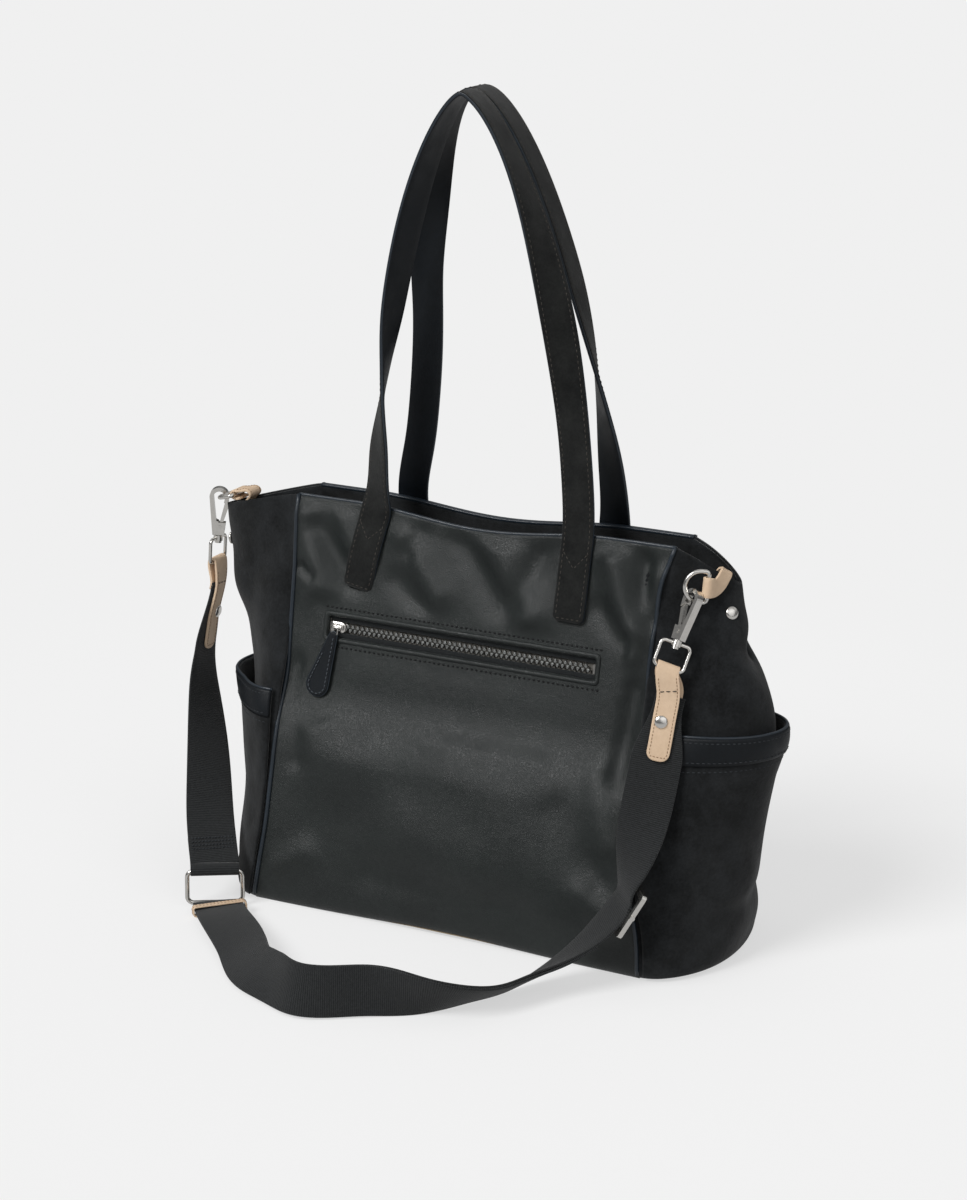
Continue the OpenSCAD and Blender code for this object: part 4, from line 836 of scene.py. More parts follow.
def outline(z, inset):
    """Closed loop round the bag at height z, a distance inside its folded skin."""
    panels = []
    for face in (FRONT, BACK):
        x = panel_x(np.linspace(-BASE_W / 2, BASE_W / 2, 24), float(z))
        v = z / math.cos(LEAN) - sag(x) * rim_share(z)
        panels.append(on_panel(x, v, panel_out(x, v, face) - inset, face))
    an = np.linspace(0, 180, 44)[1:-1]
    zz = np.full(len(an), float(z))
    left, right = (side_skin(side, zz, an) - side_normal(side, zz, an) * inset for side in (LEFT, RIGHT))
    return np.concatenate([panels[0], right, panels[1][::-1], left[::-1]])


def loop_shell(name, zs, inset, thick, mat, floor=False, wave=0.0):
    """Open sleeve inside the bag, with a floor if asked for."""
    rows = [outline(z, inset) for z in zs] + [outline(z, inset + thick) for z in zs[::-1]]
    if floor:
        rows[-1] = rows[-1] + A(0, 0, thick)
    v = np.concatenate(rows)
    if wave:
        k = np.sin(v[:, 0] / 23) * np.sin(v[:, 2] / 31) + np.sin(v[:, 1] / 17 + v[:, 2] / 26)
        v[:, :2] *= (1 - wave * np.abs(k) / 200)[:, None]
    return build(name, v, ring_faces(len(rows), len(rows[0]), loop_rows=not floor), mat)


FACING_LOW, LINING_T = 272, 1.0
finish_piece(loop_shell("rim_suede", np.linspace(FACING_LOW, BAG_H - 1, 14), SKIN_T / math.cos(LEAN), 1.6, SUEDE),
             "bag", "rim_facing")
lining_z = np.concatenate([[5.6, 9, 14], np.linspace(22, FACING_LOW, 26)])
finish_piece(loop_shell("lining", lining_z, 6.5, LINING_T, LINING, floor=True, wave=2.0), "bag", "lining")


def base_rows(thick=2.4):
    """Rings of the base panel: out along its raised underside, back along its top."""
    edge = outline(0.6, 0.0)
    mid = np.mean(edge, axis=0)
    rows = [mid + (edge - mid) * k for k in (1.0, .95, .8, .5, .15)]
    for r in rows:
        r[:, 2] = 0.35 + 2.4 * np.exp(-(r[:, 0] / ARCH_W) ** 2)
    return rows[::-1] + [r + A(0, 0, thick) for r in rows]


rows = base_rows()
piece("base_leather", LEATHER, "bag", (np.concatenate(rows), ring_faces(len(rows), len(rows[0]))), "base_panel")

# seams: painted edges down both sides of each panel, and along the rims
piping, rim = Soup(), Soup()
for grid, out in ((front_g, OUT_FRONT), (back_g, OUT_BACK)):
    for j in (0, -1):
        piping.add(*tube((grid[3:, j] + A(0, np.sign(out[1]) * 0.5, 0))[::2], PIPING_R, 8))
    line = fair(grid[-1][::4], step=3)
    rim.add(*strap(line - out * 1.9, np.tile(out, (len(line), 1)), 2.1, -1.1, 1.5, edge=1.0))
piping.piece("seam_edges", EDGE, "bag", "front_piping", "back_piping")
rim.piece("rim_edges", EDGE, "bag", "rim_binding")

# ---------------------------------------------------------------- side pockets
def pocket_skin(side, z, a, o=0.0):
    """Skin of a side pocket, which stands off the side more and more towards its mouth."""
    up = (np.clip(z - 3, 0, None) / (POCKET_H[side] - 3)) ** 1.5
    out = side_skin(side, z, a, FIT + POCKET_T + 0.5 + GAPE[side] * up * np.clip(np.sin(np.radians(a)), 0, 1) + o)
    wave = 0.9 * np.sin(np.radians(a * 4.2) + z / 37 + side) + 0.8 * np.sin(z / 17 + a / 23)
    wave = np.abs(wave) * smooth(a / 25) * smooth((180 - a) / 25) * smooth(z / 30)
    return out + side_normal(side, z, a) * wave[..., None]


SEAM_A = 6.0              # degrees from the bag's seams to the pocket's
pocket_a = np.linspace(SEAM_A, 180 - SEAM_A, 90)
for side, name in SIDES:
    top = POCKET_H[side]
    g = side_grid(side, np.concatenate([[3.2, 4.4, 6.6, 9], np.linspace(12, top, 60)]), pocket_a, 0.0, pocket_skin)
    finish_piece(shell(name + "_pocket_suede", g, POCKET_T, SUEDE), "bag", name + "_pocket")
    zs = np.linspace(top - BAND_H, top + 0.4, 12)
    g = side_grid(side, zs, pocket_a, BAND_T, pocket_skin)
    g = g + grid_normals(g) * 0.7 * np.sin(np.linspace(0, np.pi, len(zs)))[:, None, None]
    finish_piece(shell(name + "_band", g, BAND_T - 0.1, BAND), "bag", name + "_pocket_band")
    threads = Soup()
    for z, lift in ((top - BAND_H - 5, 0.0), (top - 3, BAND_T + .35), (top - BAND_H + 2.5, BAND_T + .45)):
        za = np.full(len(pocket_a), z)
        line, out = pocket_skin(side, za, pocket_a, lift), side_normal(side, za, pocket_a)
        stitch_run(threads, line[2:-2], out[2:-2], 4.0, 2.8, 0.45)
    threads.piece(name + "_pocket_threads", DARK_THREAD, "bag")
    bead = tube(pocket_skin(side, np.full(len(pocket_a), top + 0.7), pocket_a, 0.1), 1.15, 8)
    Soup(bead).piece(name + "_pocket_edge", EDGE, "bag")

# ---------------------------------------------------------------- front zip
def welt(n=240):
    """Leather frame round the zip window, crowned, with a turned inner edge."""
    rows = []
    for grow, r, h in ((WELT_W, 3.0, -1.6), (WELT_W, 3.0, 0.3), (WELT_W - .4, 2.8, WELT_T * .85),
                       (WELT_W - 1.4, 2.2, WELT_T * 1.15), (WELT_W - 2.8, 1.8, WELT_T * 1.05),
                       (0.9, 1.5, WELT_T * .75), (0.25, 1.3, 0.2), (0.0, 1.2, -1.0), (0.2, 1.2, -2.1)):
        half = ZIP_W / 2 + grow
        box = resample(rounded_box(ZIP_L - grow, ZIP_R + grow, ZIP_V - half, ZIP_V + half, r), n)
        k = np.argmin(np.hypot(box[:, 0] - ZIP_R - grow, box[:, 1] - ZIP_V))
        box = np.roll(box, -k, 0)
        rows.append(on_panel(box[:, 0], box[:, 1], h))
    return np.concatenate(rows), ring_faces(len(rows), n, loop_rows=True)


piece("zip_welt_leather", LEATHER, "bag", welt(), "zip_welt")


def zip_line(x0, x1, v, n, count):
    return on_panel(np.linspace(x0, x1, count), np.full(count, v), n)


TAPE_HALF = 4.68          # half the width of a zip tape
tapes = Soup()
for s in (-1, 1):
    p = zip_line(ZIP_L - 4, ZIP_R + 4, ZIP_V + s * (CHANNEL / 2 + TOOTH_L + TAPE_HALF), TAPE_N, 160)
    up_panel = np.tile(A(0, -math.sin(LEAN), math.cos(LEAN)), (len(p), 1))
    tapes.add(*strap(p, up_panel, TAPE_HALF, -0.4, 0.4, edge=0.3))
tapes.piece("zip_tape_cloth", TAPE, "bag", "zip_tapes")

TOOTH = np.array([(-.8, .5), (.8, .5), (.75, 1.5), (1.3, 2.0), (1.35, 2.9), (.75, 3.62), (-.75, 3.62), (-1.35, 2.9),
                  (-1.3, 2.0), (-.75, 1.5)])


def teeth(s, name, node):
    """One row of zip teeth; the lower row (s = -1) is half a pitch further on."""
    soup = Soup()
    mid = TOOTH.mean(0)
    f = ring_faces(4, len(TOOTH))
    for k in range(int((ZIP_LEN - 2 * STOP_L - 1) / TOOTH_PITCH)):
        x = ZIP_L + STOP_L + 0.8 + (k + (0 if s > 0 else 0.5) + .275) * TOOTH_PITCH
        rings = []
        for scale, h in ((1, -1.2), (1, .75), (.8, 1.15), (.4, 1.22)):
            q = mid + (TOOTH - mid) * scale
            rings.append(on_panel(x + q[:, 0], ZIP_V + s * (CHANNEL / 2 + TOOTH_L - q[:, 1]), TAPE_N + h))
        soup.add(np.concatenate(rings), f if s < 0 else [g[::-1] for g in f])
    soup.piece(name, TEETH, "bag", node, flat=True)


teeth(1, "zip_teeth_top_row", "zip_teeth_upper")
teeth(-1, "zip_teeth_low_row", "zip_teeth_lower")

zip_threads = Soup()
for s in (1, -1):
    line = zip_line(ZIP_L - 5, ZIP_R + 6, ZIP_V + s * (ZIP_W / 2 + WELT_W + 3.2), 0.1, 120)
    stitch_run(zip_threads, line, np.tile(OUT_FRONT, (120, 1)), 4.0, 2.7, 0.72, 0.2)
zip_threads.piece("zip_threads", BLACK_THREAD, "bag")


def plate(loop, levels, to_world):
    """A rounded plate: each level is (inset, height)."""
    t = unit(np.roll(loop, -1, 0) - np.roll(loop, 1, 0))
    inward = np.stack([-t[:, 1], t[:, 0]], 1)
    rings = [to_world(*(loop + inward * inset).T, np.full(len(loop), h)) for inset, h in levels]
    return np.concatenate(rings), ring_faces(len(rings), len(loop))


def on_slider(x, y, n):
    return on_panel(SLIDER_X + x, ZIP_V + y, n)


def slider():
    """Both plates of the slider, the hump between them and the bail that holds the pull."""
    box = resample(rounded_box(-SLIDER_L / 2, SLIDER_L / 2, -4.8, 4.8, 2.6, 8), 56)
    box[:, 1] *= 1 - 0.16 * smooth((box[:, 0] - 1) / 6)
    hump = resample(rounded_box(-4.6, 4.8, -2.0, 2.0, 1.9, 8), 40)
    low, high = TAPE_N - 1.35, TOP_N + 1.2
    a = np.linspace(0, math.pi, 15)
    arch = on_slider(-4.2 * np.cos(a), 0 * a, high + (BAIL_N + .35 - high) * np.sin(a) ** .45)
    return Soup(
        plate(box, [(1.2, low - 1.3), (.3, low - 1.1), (0, low - .7), (0, low)], on_slider),
        plate(box, [(0, TOP_N - 1.0), (0, TOP_N + .5), (.35, TOP_N + 1.1), (1.1, TOP_N + 1.5), (2.4, TOP_N + 1.75),
                    (3.6, TOP_N + 1.85)], on_slider),
        plate(hump, [(0, high), (.2, TOP_N + 2.2), (.7, TOP_N + 2.7), (1.3, TOP_N + 2.8)], on_slider),
        tube(arch, 0.75, 10), tube(on_slider(A(-3.0, 3.4), 0, BAIL_N), .7, 12))


slider().piece("slider_body", NICKEL, "zip_slider", "zip_slider")


def on_pull(x, y, n):
    """Place in the hanging pull's own plane."""
    c, s = math.cos(PULL_TILT), math.sin(PULL_TILT)
    return on_panel(SLIDER_X + x * c - y * s, ZIP_V + x * s + y * c, BAIL_N + n)


def pull_outline(inset, n):
    """Teardrop: a small round top and a wide round foot."""
    r0, c0 = 3.5 - inset, -7.0
    r1, c1 = PULL_W / 2 - inset, PULL_W / 2 - PULL_L - LINK_L / 2
    tilt = math.asin((r1 - r0) / (c0 - c1))
    pts = [(r0 * math.cos(a), c0 + r0 * math.sin(a)) for a in np.linspace(tilt, math.pi - tilt, 14)]
    pts += [(r1 * math.cos(a), c1 + r1 * math.sin(a)) for a in np.linspace(math.pi - tilt, 2 * math.pi + tilt, 40)]
    return resample(np.array(pts), n)


pull_tab = Soup()
for side in (1, -1):
    h0, h1 = side * 0.05, side * PULL_T / 2
    levels = [(0.35, 0), (0.15, .35), (0.3, .75), (.8, .96), (1.6, 1), (2.6, .9), (3.2, .9)]
    v, f = plate(pull_outline(0, 72), [(inset, mix(h0, h1, k)) for inset, k in levels], on_pull)
    pull_tab.add(v, f if side > 0 else [q[::-1] for q in f])
pull_tab.piece("pull_leather", BAND, "zip_pull", "zip_pull_tab")
rounded = tube(on_pull(*pull_outline(0.1, 96).T, 0), 0.62, 6, closed=True)
Soup(rounded).piece("pull_edge", EDGE, "zip_pull")
pull_threads = Soup()
q = pull_outline(2.3, 96)
q = np.concatenate([q[16:], q[:1]])
stitch_run(pull_threads, on_pull(*q.T, PULL_T / 2 + .3), np.tile(OUT_FRONT, (len(q), 1)), 3.4, 2.5, 0.42, 0.0)
# the threads' pale colour partly paints the highlight that the raised stitch line catches
pull_threads.piece("pull_threads", PALE_THREAD_AND_HIGHLIGHT, "zip_pull")
a = np.linspace(0, 2 * math.pi, 40, endpoint=False)
link = tube(on_pull(2.6 * np.cos(a), -5.4 + (5.4 + .9) * np.sin(a), 0), 0.62, 8, closed=True)
Soup(link).piece("pull_link_ring", NICKEL, "zip_pull", "zip_pull_link")

# ---------------------------------------------------------------- handles
HANDLE_W, SUEDE_T, BACKING_T, HANDLE_RISE, RIM_GAP, FOOT_L = 25.0, 1.8, 1.4, 314.6, 3.4, 66.0
HANDLE_T = SUEDE_T + BACKING_T
HANDLE_Y, APEX_Y = RIM_D / 2 + HANDLE_T / 2 + 0.6, 13.0
LEGS = {
    # left and right leg: foot, two powers of the curve, shares of the rise where it turns, twist, bow;
    # then where the legs meet, and how far each foot is set off at its low end
    FRONT: ([-88, 2.0, 0.65, -0.15, 0.50, 22, 0], [81, 1.6, 0.65, 0.20, 0.95, 0, 0], -19.0, (-12.0, -1.0)),
    BACK: ([-79, 1.5, 0.40, 0.45, 1.00, 0, 8], [92, 1.4, 0.62, -0.10, 0.60, 0, 0], -21.0, (0.0, 0.0)),
}


def leg(face, side, g, apex, shift):
    """A handle's leg from its foot on the panel up to the middle: rows of a point and the direction across."""
    top = PANEL_L - float(sag(g[0]))
    rows = []
    for k in (1.0, .8, .6, .4, .2, .06):
        x, v = g[0] + shift * k, top - (FOOT_L - (PANEL_L - top)) * k
        rows.append([on_panel(x, v, panel_out(x, v, face) + HANDLE_T / 2 + .35, face), A(side, 0, 0)])
    for f in np.sin(math.pi / 2 * np.arange(14) / 13):
        x = apex + (g[0] - apex) * (1 - f ** g[1]) ** g[2] + g[6] * math.sin(math.pi * min(1, f / 0.6))
        turned = math.radians(90 * smooth((f - g[3]) / (g[4] - g[3]))
                              + g[5] * math.sin(math.pi * min(1, max(0, (f - .35) / .65))))
        rows.append([A(x, face * mix(HANDLE_Y, APEX_Y, f), BAG_H + RIM_GAP + HANDLE_RISE * f),
                     A(side * math.cos(turned), -face * math.sin(turned), 0)])
    return rows


def handle_path(face):
    """Points on the middle of a handle from its left foot over the top to its right foot."""
    left, right, apex, shift = LEGS[face]
    rows = A(*leg(face, LEFT, left, apex, shift[0]), *leg(face, RIGHT, right, apex, shift[1])[-2::-1])
    return fair(rows[:, 0], rows[:, 1], 2.2)


front_feet = []
for face, name in ((FRONT, "front"), (BACK, "back")):
    p, w = handle_path(face)
    if face == BACK:      # facing outward means the strap runs the other way
        p, w = p[::-1], w[::-1]
    if strap_frame(p, w)[1][3] @ (OUT_FRONT if face == FRONT else OUT_BACK) < 0:
        w = -w
    a, n = strap_frame(p, w)
    s = steps(p)
    L = s[-1]
    body = name + "_handle"
    if face == FRONT:
        front_feet = [p[0], p[-1]]
    high, wide = HANDLE_T / 2, HANDLE_W / 2
    parts = []
    for part, mat, half, lo, hi, edge, crown, nodes in (
            ("face", HANDLE_SUEDE, wide, high - SUEDE_T, high, 0.6, 0.12, ("suede", "feet")),
            ("back", BAND, wide - .1, -high, BACKING_T - high, 0.5, 0.0, ("backing", "feet_backing")),
            ("edges", EDGE, wide + .28, .35 - high, high - .35, 0.9, 0.0, ())):
        v, f, uv = strap(p, w, half, lo, hi, edge=edge, ends=(4, 4), crown=crown)
        parts.append((build(f"{body}_{part}", v, f, mat, uv=uv), [f"{body}_{node}" for node in nodes]))
    threads = Soup()
    keep = (s >= 2.5) & (s <= L - 2.5)
    for x in (2.6 - wide, wide - 2.6):
        stitch_run(threads, (p + a * x + n * (high + .1))[keep], n[keep], 4.2, 2.9, 0.38)
    for row_at, point_at, rise in ((3.0, FOOT_L - 26, 12.0), (L - 3.0, L - FOOT_L + 26, -12.0)):
        stitch_row(threads, p, a, n, row_at, wide - 3, high + .1, 4.0, 2.9, 0.38)
        k = np.linspace(-1, 1, 15)
        mid, across, out = (sample(rows, s, point_at + rise * np.abs(k)) for rows in (p, a, n))
        line = mid + across * k[:, None] * (wide - 2.6) + out * (high + .1)
        for half in (slice(0, 8), slice(7, 15)):
            stitch_run(threads, line[half], out[half], 3.8, 2.8, 0.38)
    parts.append((threads.make(name + "_handle_threads", HANDLE_THREAD), ()))
    for o, nodes in parts:
        finish = o.data.materials[0].name.split(".")[0]
        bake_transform(o)
        if nodes:
            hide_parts(*nodes)

# ---------------------------------------------------------------- tan tabs, rivets and keeper
TAB_W, TAN_T = 17.0, 2.0
WRAP_R = FOLD_R = 3.0     # how far a tab's middle lies from a ring's bar, and from a hook's eye
LEFT_BAR, RIGHT_BAR = A(-224.1, 1, 305.1), A(185.18, -20.74, 291.19)
LEFT_SWIVEL, RIGHT_SWIVEL = A(-242.9, -1.2, 266.1), A(170.85, -41.91, 252.18)
LEFT_UP, RIGHT_UP = unit(A(.052, 0, .999)), unit(A(.168, .414, .895))
LEFT_LOOP_X = A(0, 1, 0)
RIGHT_LOOP_X = square(A(.857, .386, -.34), RIGHT_UP)
RIGHT_BOW = unit(A(-.86, -.5, .09))
RIGHT_AXIS = -unit(np.cross(np.cross(A(0, .1, 1), RIGHT_BOW), RIGHT_BOW))
EYE_DROP = 19.2
LEFT_EYE, RIGHT_EYE = LEFT_SWIVEL - LEFT_UP * EYE_DROP, RIGHT_SWIVEL - RIGHT_UP * EYE_DROP
RIGHT_OFF = A(.8, -1.8, .7) * (2.3 / 2.1)
LEFT_OFF = A(2.0, .2, -.35) * (2.3 / 2.05)


def fold_over(eye, up, face):
    """Points half round a hook's eye."""
    return [eye + FOLD_R * (face * math.cos(a) + up * math.sin(a)) for a in np.radians(range(0, 181, 30))]


def tab(name, node, pts, dirs, wide, fold_at):
    """Tan strap through pts with a stitch line inside its edges, up to the fold."""
    pts = A(*pts)
    p, w = fair(pts, A(*dirs), 1.0)
    s = steps(p)
    half = np.interp(s / s[-1], steps(pts) / steps(pts)[-1], wide) / 2
    high = TAN_T / 2
    piece(name, TAN, "bag", strap(p, w, half, -high + .05, high, edge=0.45, ends=(6.5, 1.5), crown=0.05), node)
    a, n = strap_frame(p, -w)
    keep = (s > 2.2) & (s < fold_at)
    inside = a * np.maximum(half - 2.0 - np.clip(5.5 - s, 0, None) * 0.5, 0.4)[:, None]
    left, right = ((p + side * inside + n * (high + .1))[keep] for side in (1, -1))
    soup = Soup()
    outs = np.concatenate([n[keep][::-1], n[keep]])
    stitch_run(soup, np.concatenate([left[::-1], right]), outs, 2.6, 1.9, 0.24, 0.06)
    soup.piece(name + "_stitches", TAN_THREAD, "bag")
    return p, a, n


def dark_bar(name, strip, at):
    """A short row of dark stitches across a tab, at a distance along it."""
    soup = Soup()
    stitch_row(soup, *strip, at, TAB_W / 2 - 1.5, TAN_T / 2 + .12, 4.6, 3.4, 0.4, 0.1)
    soup.piece(name, HANDLE_THREAD, "bag")


RIGHT_FACE, LEFT_FACE = unit(np.cross(RIGHT_LOOP_X, RIGHT_UP)), unit(np.cross(LEFT_LOOP_X, LEFT_UP))
pts = [A(167.35, -65.2, 168) + 1.2 * RIGHT_OFF, A(168.5, -61.1, 183.4) + RIGHT_OFF, A(169.3, -55.3, 203) + RIGHT_OFF,
       A(169.6, -52.0, 217.5) + 1.15 * RIGHT_OFF] + fold_over(RIGHT_EYE, RIGHT_UP, RIGHT_FACE) \
    + [A(170.28, -46.65, 217.5) - RIGHT_OFF, A(169.9, -49.8, 210) - RIGHT_OFF]
low = A(.91, .41, 0)
dirs = [low] * 4 + [RIGHT_LOOP_X] * 7 + [low] * 2
dark_bar("right_tab_bar", tab("right_strap_leather", "right_strap_tab", pts, dirs, [TAB_W] * 13, fold_at=64), at=52)
pts = [A(-251, -9, 175) + 1.12 * LEFT_OFF, A(-249, -7.5, 190) + LEFT_OFF, A(-247, -6, 205) + LEFT_OFF,
       A(-243, -2, 229) + LEFT_OFF] + fold_over(LEFT_EYE, LEFT_UP, LEFT_FACE) \
    + [A(-243, -2, 229) - LEFT_OFF, A(-244, -3, 223) - LEFT_OFF]
low = A(-.1, 1, 0)
dirs = [low] * 4 + [LEFT_LOOP_X] * 7 + [low] * 2
dark_bar("left_tab_bar", tab("left_strap_leather", "left_strap_tab", pts, dirs, [TAB_W] * 13, fold_at=67), at=56)
b, r = LEFT_BAR, WRAP_R
pts = [A(-220.5, 1, 266), A(-219.5, 1, 284), A(-216, 1, 297), A(-211.5, 1, 303.5), A(-209.5, 1, 307),
       A(-211.5, 1, 309.4), b + A(5.5, 0, r + .6), b + r * unit(A(.2, 0, 1)), b + r * unit(A(-.7, 0, .7)),
       b + r * unit(A(-1, 0, -.2)), b + r * unit(A(-.3, 0, -1)), b + A(5, 0, -r + .4)]
tab("left_ring_leather", "left_ring_tab", pts, [A(0, 1, 0)] * 12, [10, 11.75, 13.5, 15.25] + [TAB_W] * 8, fold_at=60)
out = unit(np.cross(RIGHT_AXIS, unit(RIGHT_BAR - A(191, .5, 297.6))))
go = unit(np.cross(out, RIGHT_AXIS))
b = RIGHT_BAR
pts = [A(192.4, -2.3, 269.6), A(189.2, 1, 281.6), A(186.6, 2.5, 291), A(187, 3, 297.6), A(190.4, 1.1, 299.3),
       A(192.2, -4.5, 297.9), b + r * out - 6 * go, b + r * out, b + r * unit(out + go), b + r * go,
       b + r * unit(go - out), b - r * out, b - r * out - 4 * go]
dirs = [A(.6, .77, -.1)] * 2 + [A(.64, .58, -.5)] * 3 + [A(.45, .35, -.8)] + [-RIGHT_AXIS] * 7
tab("right_ring_leather", "right_ring_tab", pts, dirs, [8, 8.5, 9, 9, 9.5, 11, 13.5] + [15] * 6, fold_at=60)


KEEPER_W, KEEPER_GAP = 7.0, 0.7


def keeper():
    """Tan loop round both runs of webbing, with soft corners and stitched edges."""
    go = unit(A(.63, -.765, .126))
    x = square(A(.78, .62, .06), go)
    half_x, half_y = (WEB_W + 1.8) / 2 + KEEPER_GAP, WEB_T + 1.1 + KEEPER_GAP
    box = resample(rounded_box(-half_x, half_x, -half_y, half_y, 2.0, 8), 120)
    loop = A(-171.5, -123, 5.75) + x * box[:, :1] + np.cross(go, x) * box[:, 1:]
    n = np.cross(unit(np.roll(loop, -1, 0) - np.roll(loop, 1, 0)), go)
    q = profile(KEEPER_W / 2, -.65, .68, .4)
    rings = loop[:, None] + go * q[None, :, :1] + n[:, None] * q[None, :, 1:]
    piece("keeper_leather", TAN, "keeper", (rings.reshape(-1, 3), ring_faces(len(loop), len(q), True)), "strap_keeper")
    soup = Soup()
    for k in (-1, 1):
        line = loop + go * k * (KEEPER_W / 2 - 1.5) + n * .74
        stitch_run(soup, np.concatenate([line, line[:1]]), np.concatenate([n, n[:1]]), 2.8, 2.0, 0.24, 0.05)
    soup.piece("keeper_stitches", TAN_THREAD, "keeper")


keeper()

# ---------------------------------------------------------------- stitching on the webbing
def across_rows(name, p, w, places, half, h, r=0.4):
    """Rows of stitches across a webbing at distances along it, h out of its middle."""
    soup = Soup()
    for at in places:
        stitch_row(soup, p, *strap_frame(p, w), at, half, h, 2.6, 2.08, r, 0.15)
    soup.piece(name, DARK_THREAD, "bag")


# the webbing's hem, turned round the upper rod of the ring and sewn down behind
RING_ROD, RING_X = A(-184, -109, 29.4), unit(A(.85, .53, 0))
HEM_R, HEM_BACK = 2.85, 1.95      # the turn's radius, and how far behind the webbing its end lies
L = steps(short_p)[-1]
down_web = unit(short_p[-1] - short_p[-4])
ring_down = square(down_web, RING_X)
ring_front = square(square(short_p[-1] - RING_ROD, RING_X), ring_down)
front_side = 1 if short_n[-1] @ ring_front > 0 else -1


def behind(back):
    """Place behind the webbing, this far up from its end."""
    i = int(np.argmin(np.abs(steps(short_p) - (L - back))))
    return short_p[i] - front_side * short_n[i] * HEM_BACK, short_w[i]


turn = [RING_ROD + HEM_R * (ring_front * math.cos(a) + ring_down * math.sin(a))
        for a in np.radians((10, 50, 90, 130, 170))]
up_back = [behind(b) for b in (6, 13, 20, 26)]
hem_p, hem_w = fair(A(short_p[-1] - down_web * 1.2, *turn, *[q for q, _ in up_back]),
                    A(short_w[-1], *[RING_X] * 5, *[w for _, w in up_back]), 0.9)
piece("webbing_hem", WEB, "bag", strap(hem_p, hem_w, WEB_W / 2 - 0.05, -HALF_T + .02, HALF_T - .02, edge=0.5))
across_rows("hem_stitches", short_p, short_w, L - A(15, 18, 21, 24), 17, front_side * (HALF_T + .12), 0.6)
across_rows("hem_stitches_back", short_p, short_w, L - A(16, 19.5), 17, -front_side * (HEM_BACK + HALF_T + .1))
across_rows("return_stitches", back_p, back_w, (4, 7.5, 22, 25.5), 16, -WEB_GAP - WEB_T - .1)

# ---------------------------------------------------------------- rivets, placed where the photograph shows them
RIVET_R, RIVET_H = 5.0, 2.1
bpy.context.view_layer.update()


def rivet(name, at, out, *replaced):
    piece(name, NICKEL, "bag", dome(at, unit(out), RIVET_R, RIVET_H, base=0.8), *replaced)


rivet("right_tab_rivet", *on_surface((661, 722), bpy.data.objects["right_strap_leather"]), "strap_tab_rivets")
rivet("left_tab_rivet", *on_surface((218, 611), bpy.data.objects["left_strap_leather"]), "strap_tab_rivets")
rivet("right_ring_rivet", *on_surface((732, 613), bpy.data.objects["right_suede"]), "ring_tab_rivets")
rivet("left_ring_rivet", *(skin(LEFT, 282.0, 90.0) for skin in (side_skin, side_normal)), "ring_tab_rivets")

# ---------------------------------------------------------------- looks of the nodes kept from CAD
CLIP_PARTS = ("clip_loop", "clip_hook", "clip_pin", "clip_gate", "clip_spring")
METAL_NODES = [name + "_" + part for _, name in SIDES for part in ("d_ring", *CLIP_PARTS)] \
    + ["strap_ring", "slider_frame", "slider_bar", "zip_stops"]
KEPT = {**{n: NICKEL for n in METAL_NODES}, "zip_pocket_bag": LINING, "base_board": BOARD}
for node, mat in KEPT.items():
    o = NODES[node]
    if not o.material_slots:
        o.data.materials.append(mat)
    for slot in o.material_slots:
        slot.material = mat
    if mat is NICKEL:
        soft = o.modifiers.new("soft edges", "BEVEL")
        soft.width, soft.segments, soft.limit_method, soft.angle_limit = 0.25 * MM, 2, "ANGLE", math.radians(50)

# ---------------------------------------------------------------- floor, backdrop and light
PAPER = 0.871             # linear value of the photograph's pale ground
FLOOR_ALBEDO, FLOOR_GLOW, FLOOR_BOUNCE = 0.34, 0.58, 0.5
FLOOR_HALF, FLOOR_Z = 6000, -.2


def grey(v):
    return (v, v, v, 1)


def output(tree, kind, seen, other):
    """A tree's output: seen by the camera, other by all other rays."""
    rays = wire(tree, "ShaderNodeLightPath")
    mixer = wire(tree, "ShaderNodeMixShader", {0: rays.outputs["Is Camera Ray"], 1: other, 2: seen})
    wire(tree, kind, {0: mixer.outputs[0]})


def paper():
    """Pale ground: lit near the bag so that it takes a soft shadow, plain white further out."""
    m = bpy.data.materials.new("paper")
    m.use_nodes = True
    t = m.node_tree
    t.nodes.clear()
    matt = wire(t, "ShaderNodeBsdfDiffuse", {"Color": grey(FLOOR_ALBEDO)})
    glow, plain, bounce = (wire(t, "ShaderNodeEmission", {"Color": grey(v)}).outputs[0]
                           for v in (FLOOR_GLOW, PAPER, FLOOR_BOUNCE))
    lit = wire(t, "ShaderNodeAddShader", {0: matt.outputs[0], 1: glow})
    place = wire(t, "ShaderNodeTexCoord").outputs["Object"]
    away = wire(t, "ShaderNodeVectorMath", {0: place}, operation="LENGTH").outputs["Value"]
    far = wire(t, "ShaderNodeMapRange", {"Value": away, "From Min": 0.35, "From Max": 1.0},
               interpolation_type="SMOOTHSTEP").outputs["Result"]
    ground = wire(t, "ShaderNodeMixShader", {0: far, 1: lit.outputs[0], 2: plain})
    output(t, "ShaderNodeOutputMaterial", ground.outputs[0], bounce)
    return m


corners = [(x * FLOOR_HALF, y * FLOOR_HALF, FLOOR_Z) for x, y in ((-1, -1), (1, -1), (1, 1), (-1, 1))]
floor = build("floor", corners, [[0, 1, 2, 3]], paper(), flat=True)


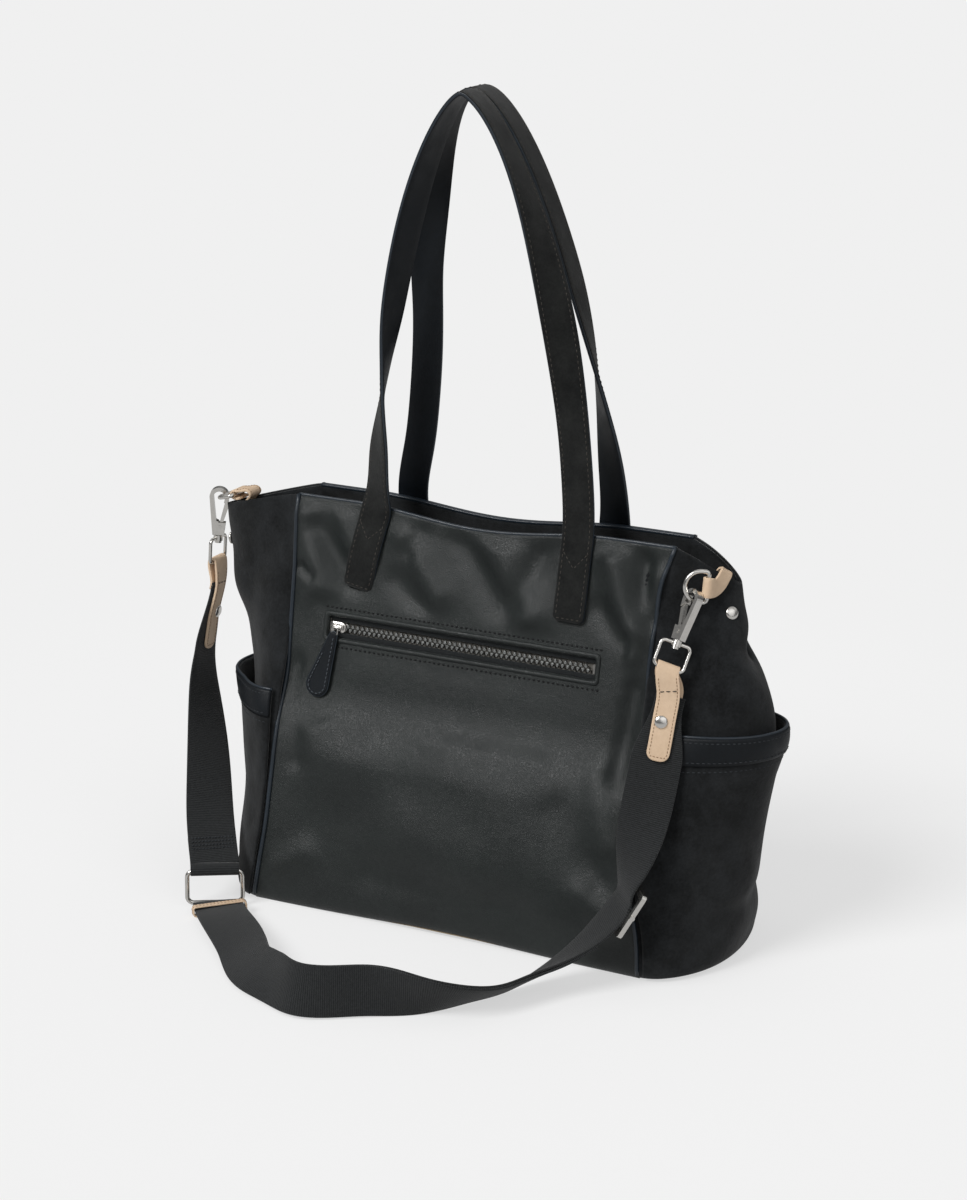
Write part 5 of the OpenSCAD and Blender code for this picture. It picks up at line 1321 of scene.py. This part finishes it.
def world_light(ambient):
    """Grey studio light that changes with height; the camera sees plain paper."""
    w = bpy.data.worlds.new("studio")
    bpy.context.scene.world = w
    w.use_nodes = True
    t = w.node_tree
    t.nodes.clear()
    place = wire(t, "ShaderNodeTexCoord").outputs["Generated"]
    height = wire(t, "ShaderNodeSeparateXYZ", {0: place}).outputs[2]
    up = wire(t, "ShaderNodeMapRange", {"Value": height, "From Min": -1}).outputs["Result"]
    ramp = wire(t, "ShaderNodeValToRGB", {"Fac": up})
    e = ramp.color_ramp.elements
    e[0].position, e[0].color = 0.0, grey(.55)
    e[1].position, e[1].color = 1.0, grey(1.25)
    for pos, val in ((.46, .7), (.52, .25), (.62, .38), (.69, .8), (.78, 1.7), (.88, 1.0)):
        e.new(pos).color = grey(val)
    studio = wire(t, "ShaderNodeBackground", {"Color": ramp.outputs["Color"], "Strength": ambient})
    plain = wire(t, "ShaderNodeBackground", {"Color": grey(PAPER)})
    output(t, "ShaderNodeOutputWorld", plain.outputs[0], studio.outputs[0])


world_light(0.34)


def sun(name, strength, angle, direction):
    """Sunlight that falls along the direction."""
    d = bpy.data.lights.new(name, "SUN")
    d.energy, d.angle = strength, math.radians(angle)
    o = bpy.data.objects.new(name, d)
    o.rotation_mode = "QUATERNION"
    o.rotation_quaternion = Vector(direction).to_track_quat("-Z", "Y")
    bpy.context.scene.collection.objects.link(o)


sun("key", 2.15, 26, (0.38, 0.84, -0.85))
sun("fill", 0.45, 60, (-0.8, 0.5, -0.55))

# ---------------------------------------------------------------- image points, as in the photograph
IMAGE_POINTS = {
    "object_left": (182, None), "object_right": (788, None), "object_top": (None, 85), "object_bottom": (None, 978),
    "panel_top_left": (299, 491), "panel_top_right": (675, 547), "panel_low_left": (252, 889), "panel_low_right": (633, 976),
    "zip_window_left_top": (329, 612), "zip_window_right_top": (600, 655), "zip_slider": (337, 628), "zip_pull_tip": (313, 700),
    "front_left_foot": (356, 592), "front_right_foot": (568, 625), "strap_ring_left": (182, 881), "slider_frame": (626, 903),
    "right_rim_ring": (697, 586), "left_hook_top": (220, 487),
}


bpy.context.view_layer.update()
skip = {floor.name, short_web.name, long_web.name, back_web.name}
shown = [o for o in bpy.context.scene.objects if o.type == "MESH" and not o.hide_render and o.name not in skip]
everything = np.concatenate([pixels(world_points(o)) for o in shown])
by_name = {o.name: o for o in shown}


def reach(names, which):
    q = np.concatenate([pixels(world_points(by_name[n])) for n in names])
    return q[{"left": q[:, 0].argmin(), "top": q[:, 1].argmin(), "low": q[:, 1].argmax()}[which]]


def middle(*names):
    q = np.concatenate([pixels(world_points(by_name[n])) for n in names])
    return (q.min(0) + q.max(0)) / 2


def grid_px(g, i, j):
    return pixels(g[i, j][None] * MM)[0]


FOUND = {
    "object_left": (everything[:, 0].min(), None), "object_right": (everything[:, 0].max(), None),
    "object_top": (None, everything[:, 1].min()), "object_bottom": (None, everything[:, 1].max()),
    "panel_top_left": grid_px(front_g, -1, 0), "panel_top_right": grid_px(front_g, -1, -1),
    "panel_low_left": grid_px(front_g, 4, 0), "panel_low_right": grid_px(front_g, 4, -1),
    "zip_window_left_top": pixels(on_panel(ZIP_L, ZIP_V + ZIP_W / 2, 0)[None] * MM)[0],
    "zip_window_right_top": pixels(on_panel(ZIP_R, ZIP_V + ZIP_W / 2, 0)[None] * MM)[0],
    "zip_slider": middle("slider_body"), "zip_pull_tip": reach(["pull_leather"], "low"),
    "front_left_foot": pixels(front_feet[0][None] * MM)[0], "front_right_foot": pixels(front_feet[1][None] * MM)[0],
    "strap_ring_left": reach(["strap_ring"], "left"), "slider_frame": middle("slider_frame"),
    "right_rim_ring": middle("right_d_ring"), "left_hook_top": reach(["left_clip_hook"], "top"),
}
report = {}
for name, goal in IMAGE_POINTS.items():
    got = FOUND[name]
    report[name] = {"point": list(goal), "off": [None if g is None else round(float(q - g), 1) for g, q in zip(goal, got)]}
for name, row in report.items():
    print("POINT", name, row["off"])
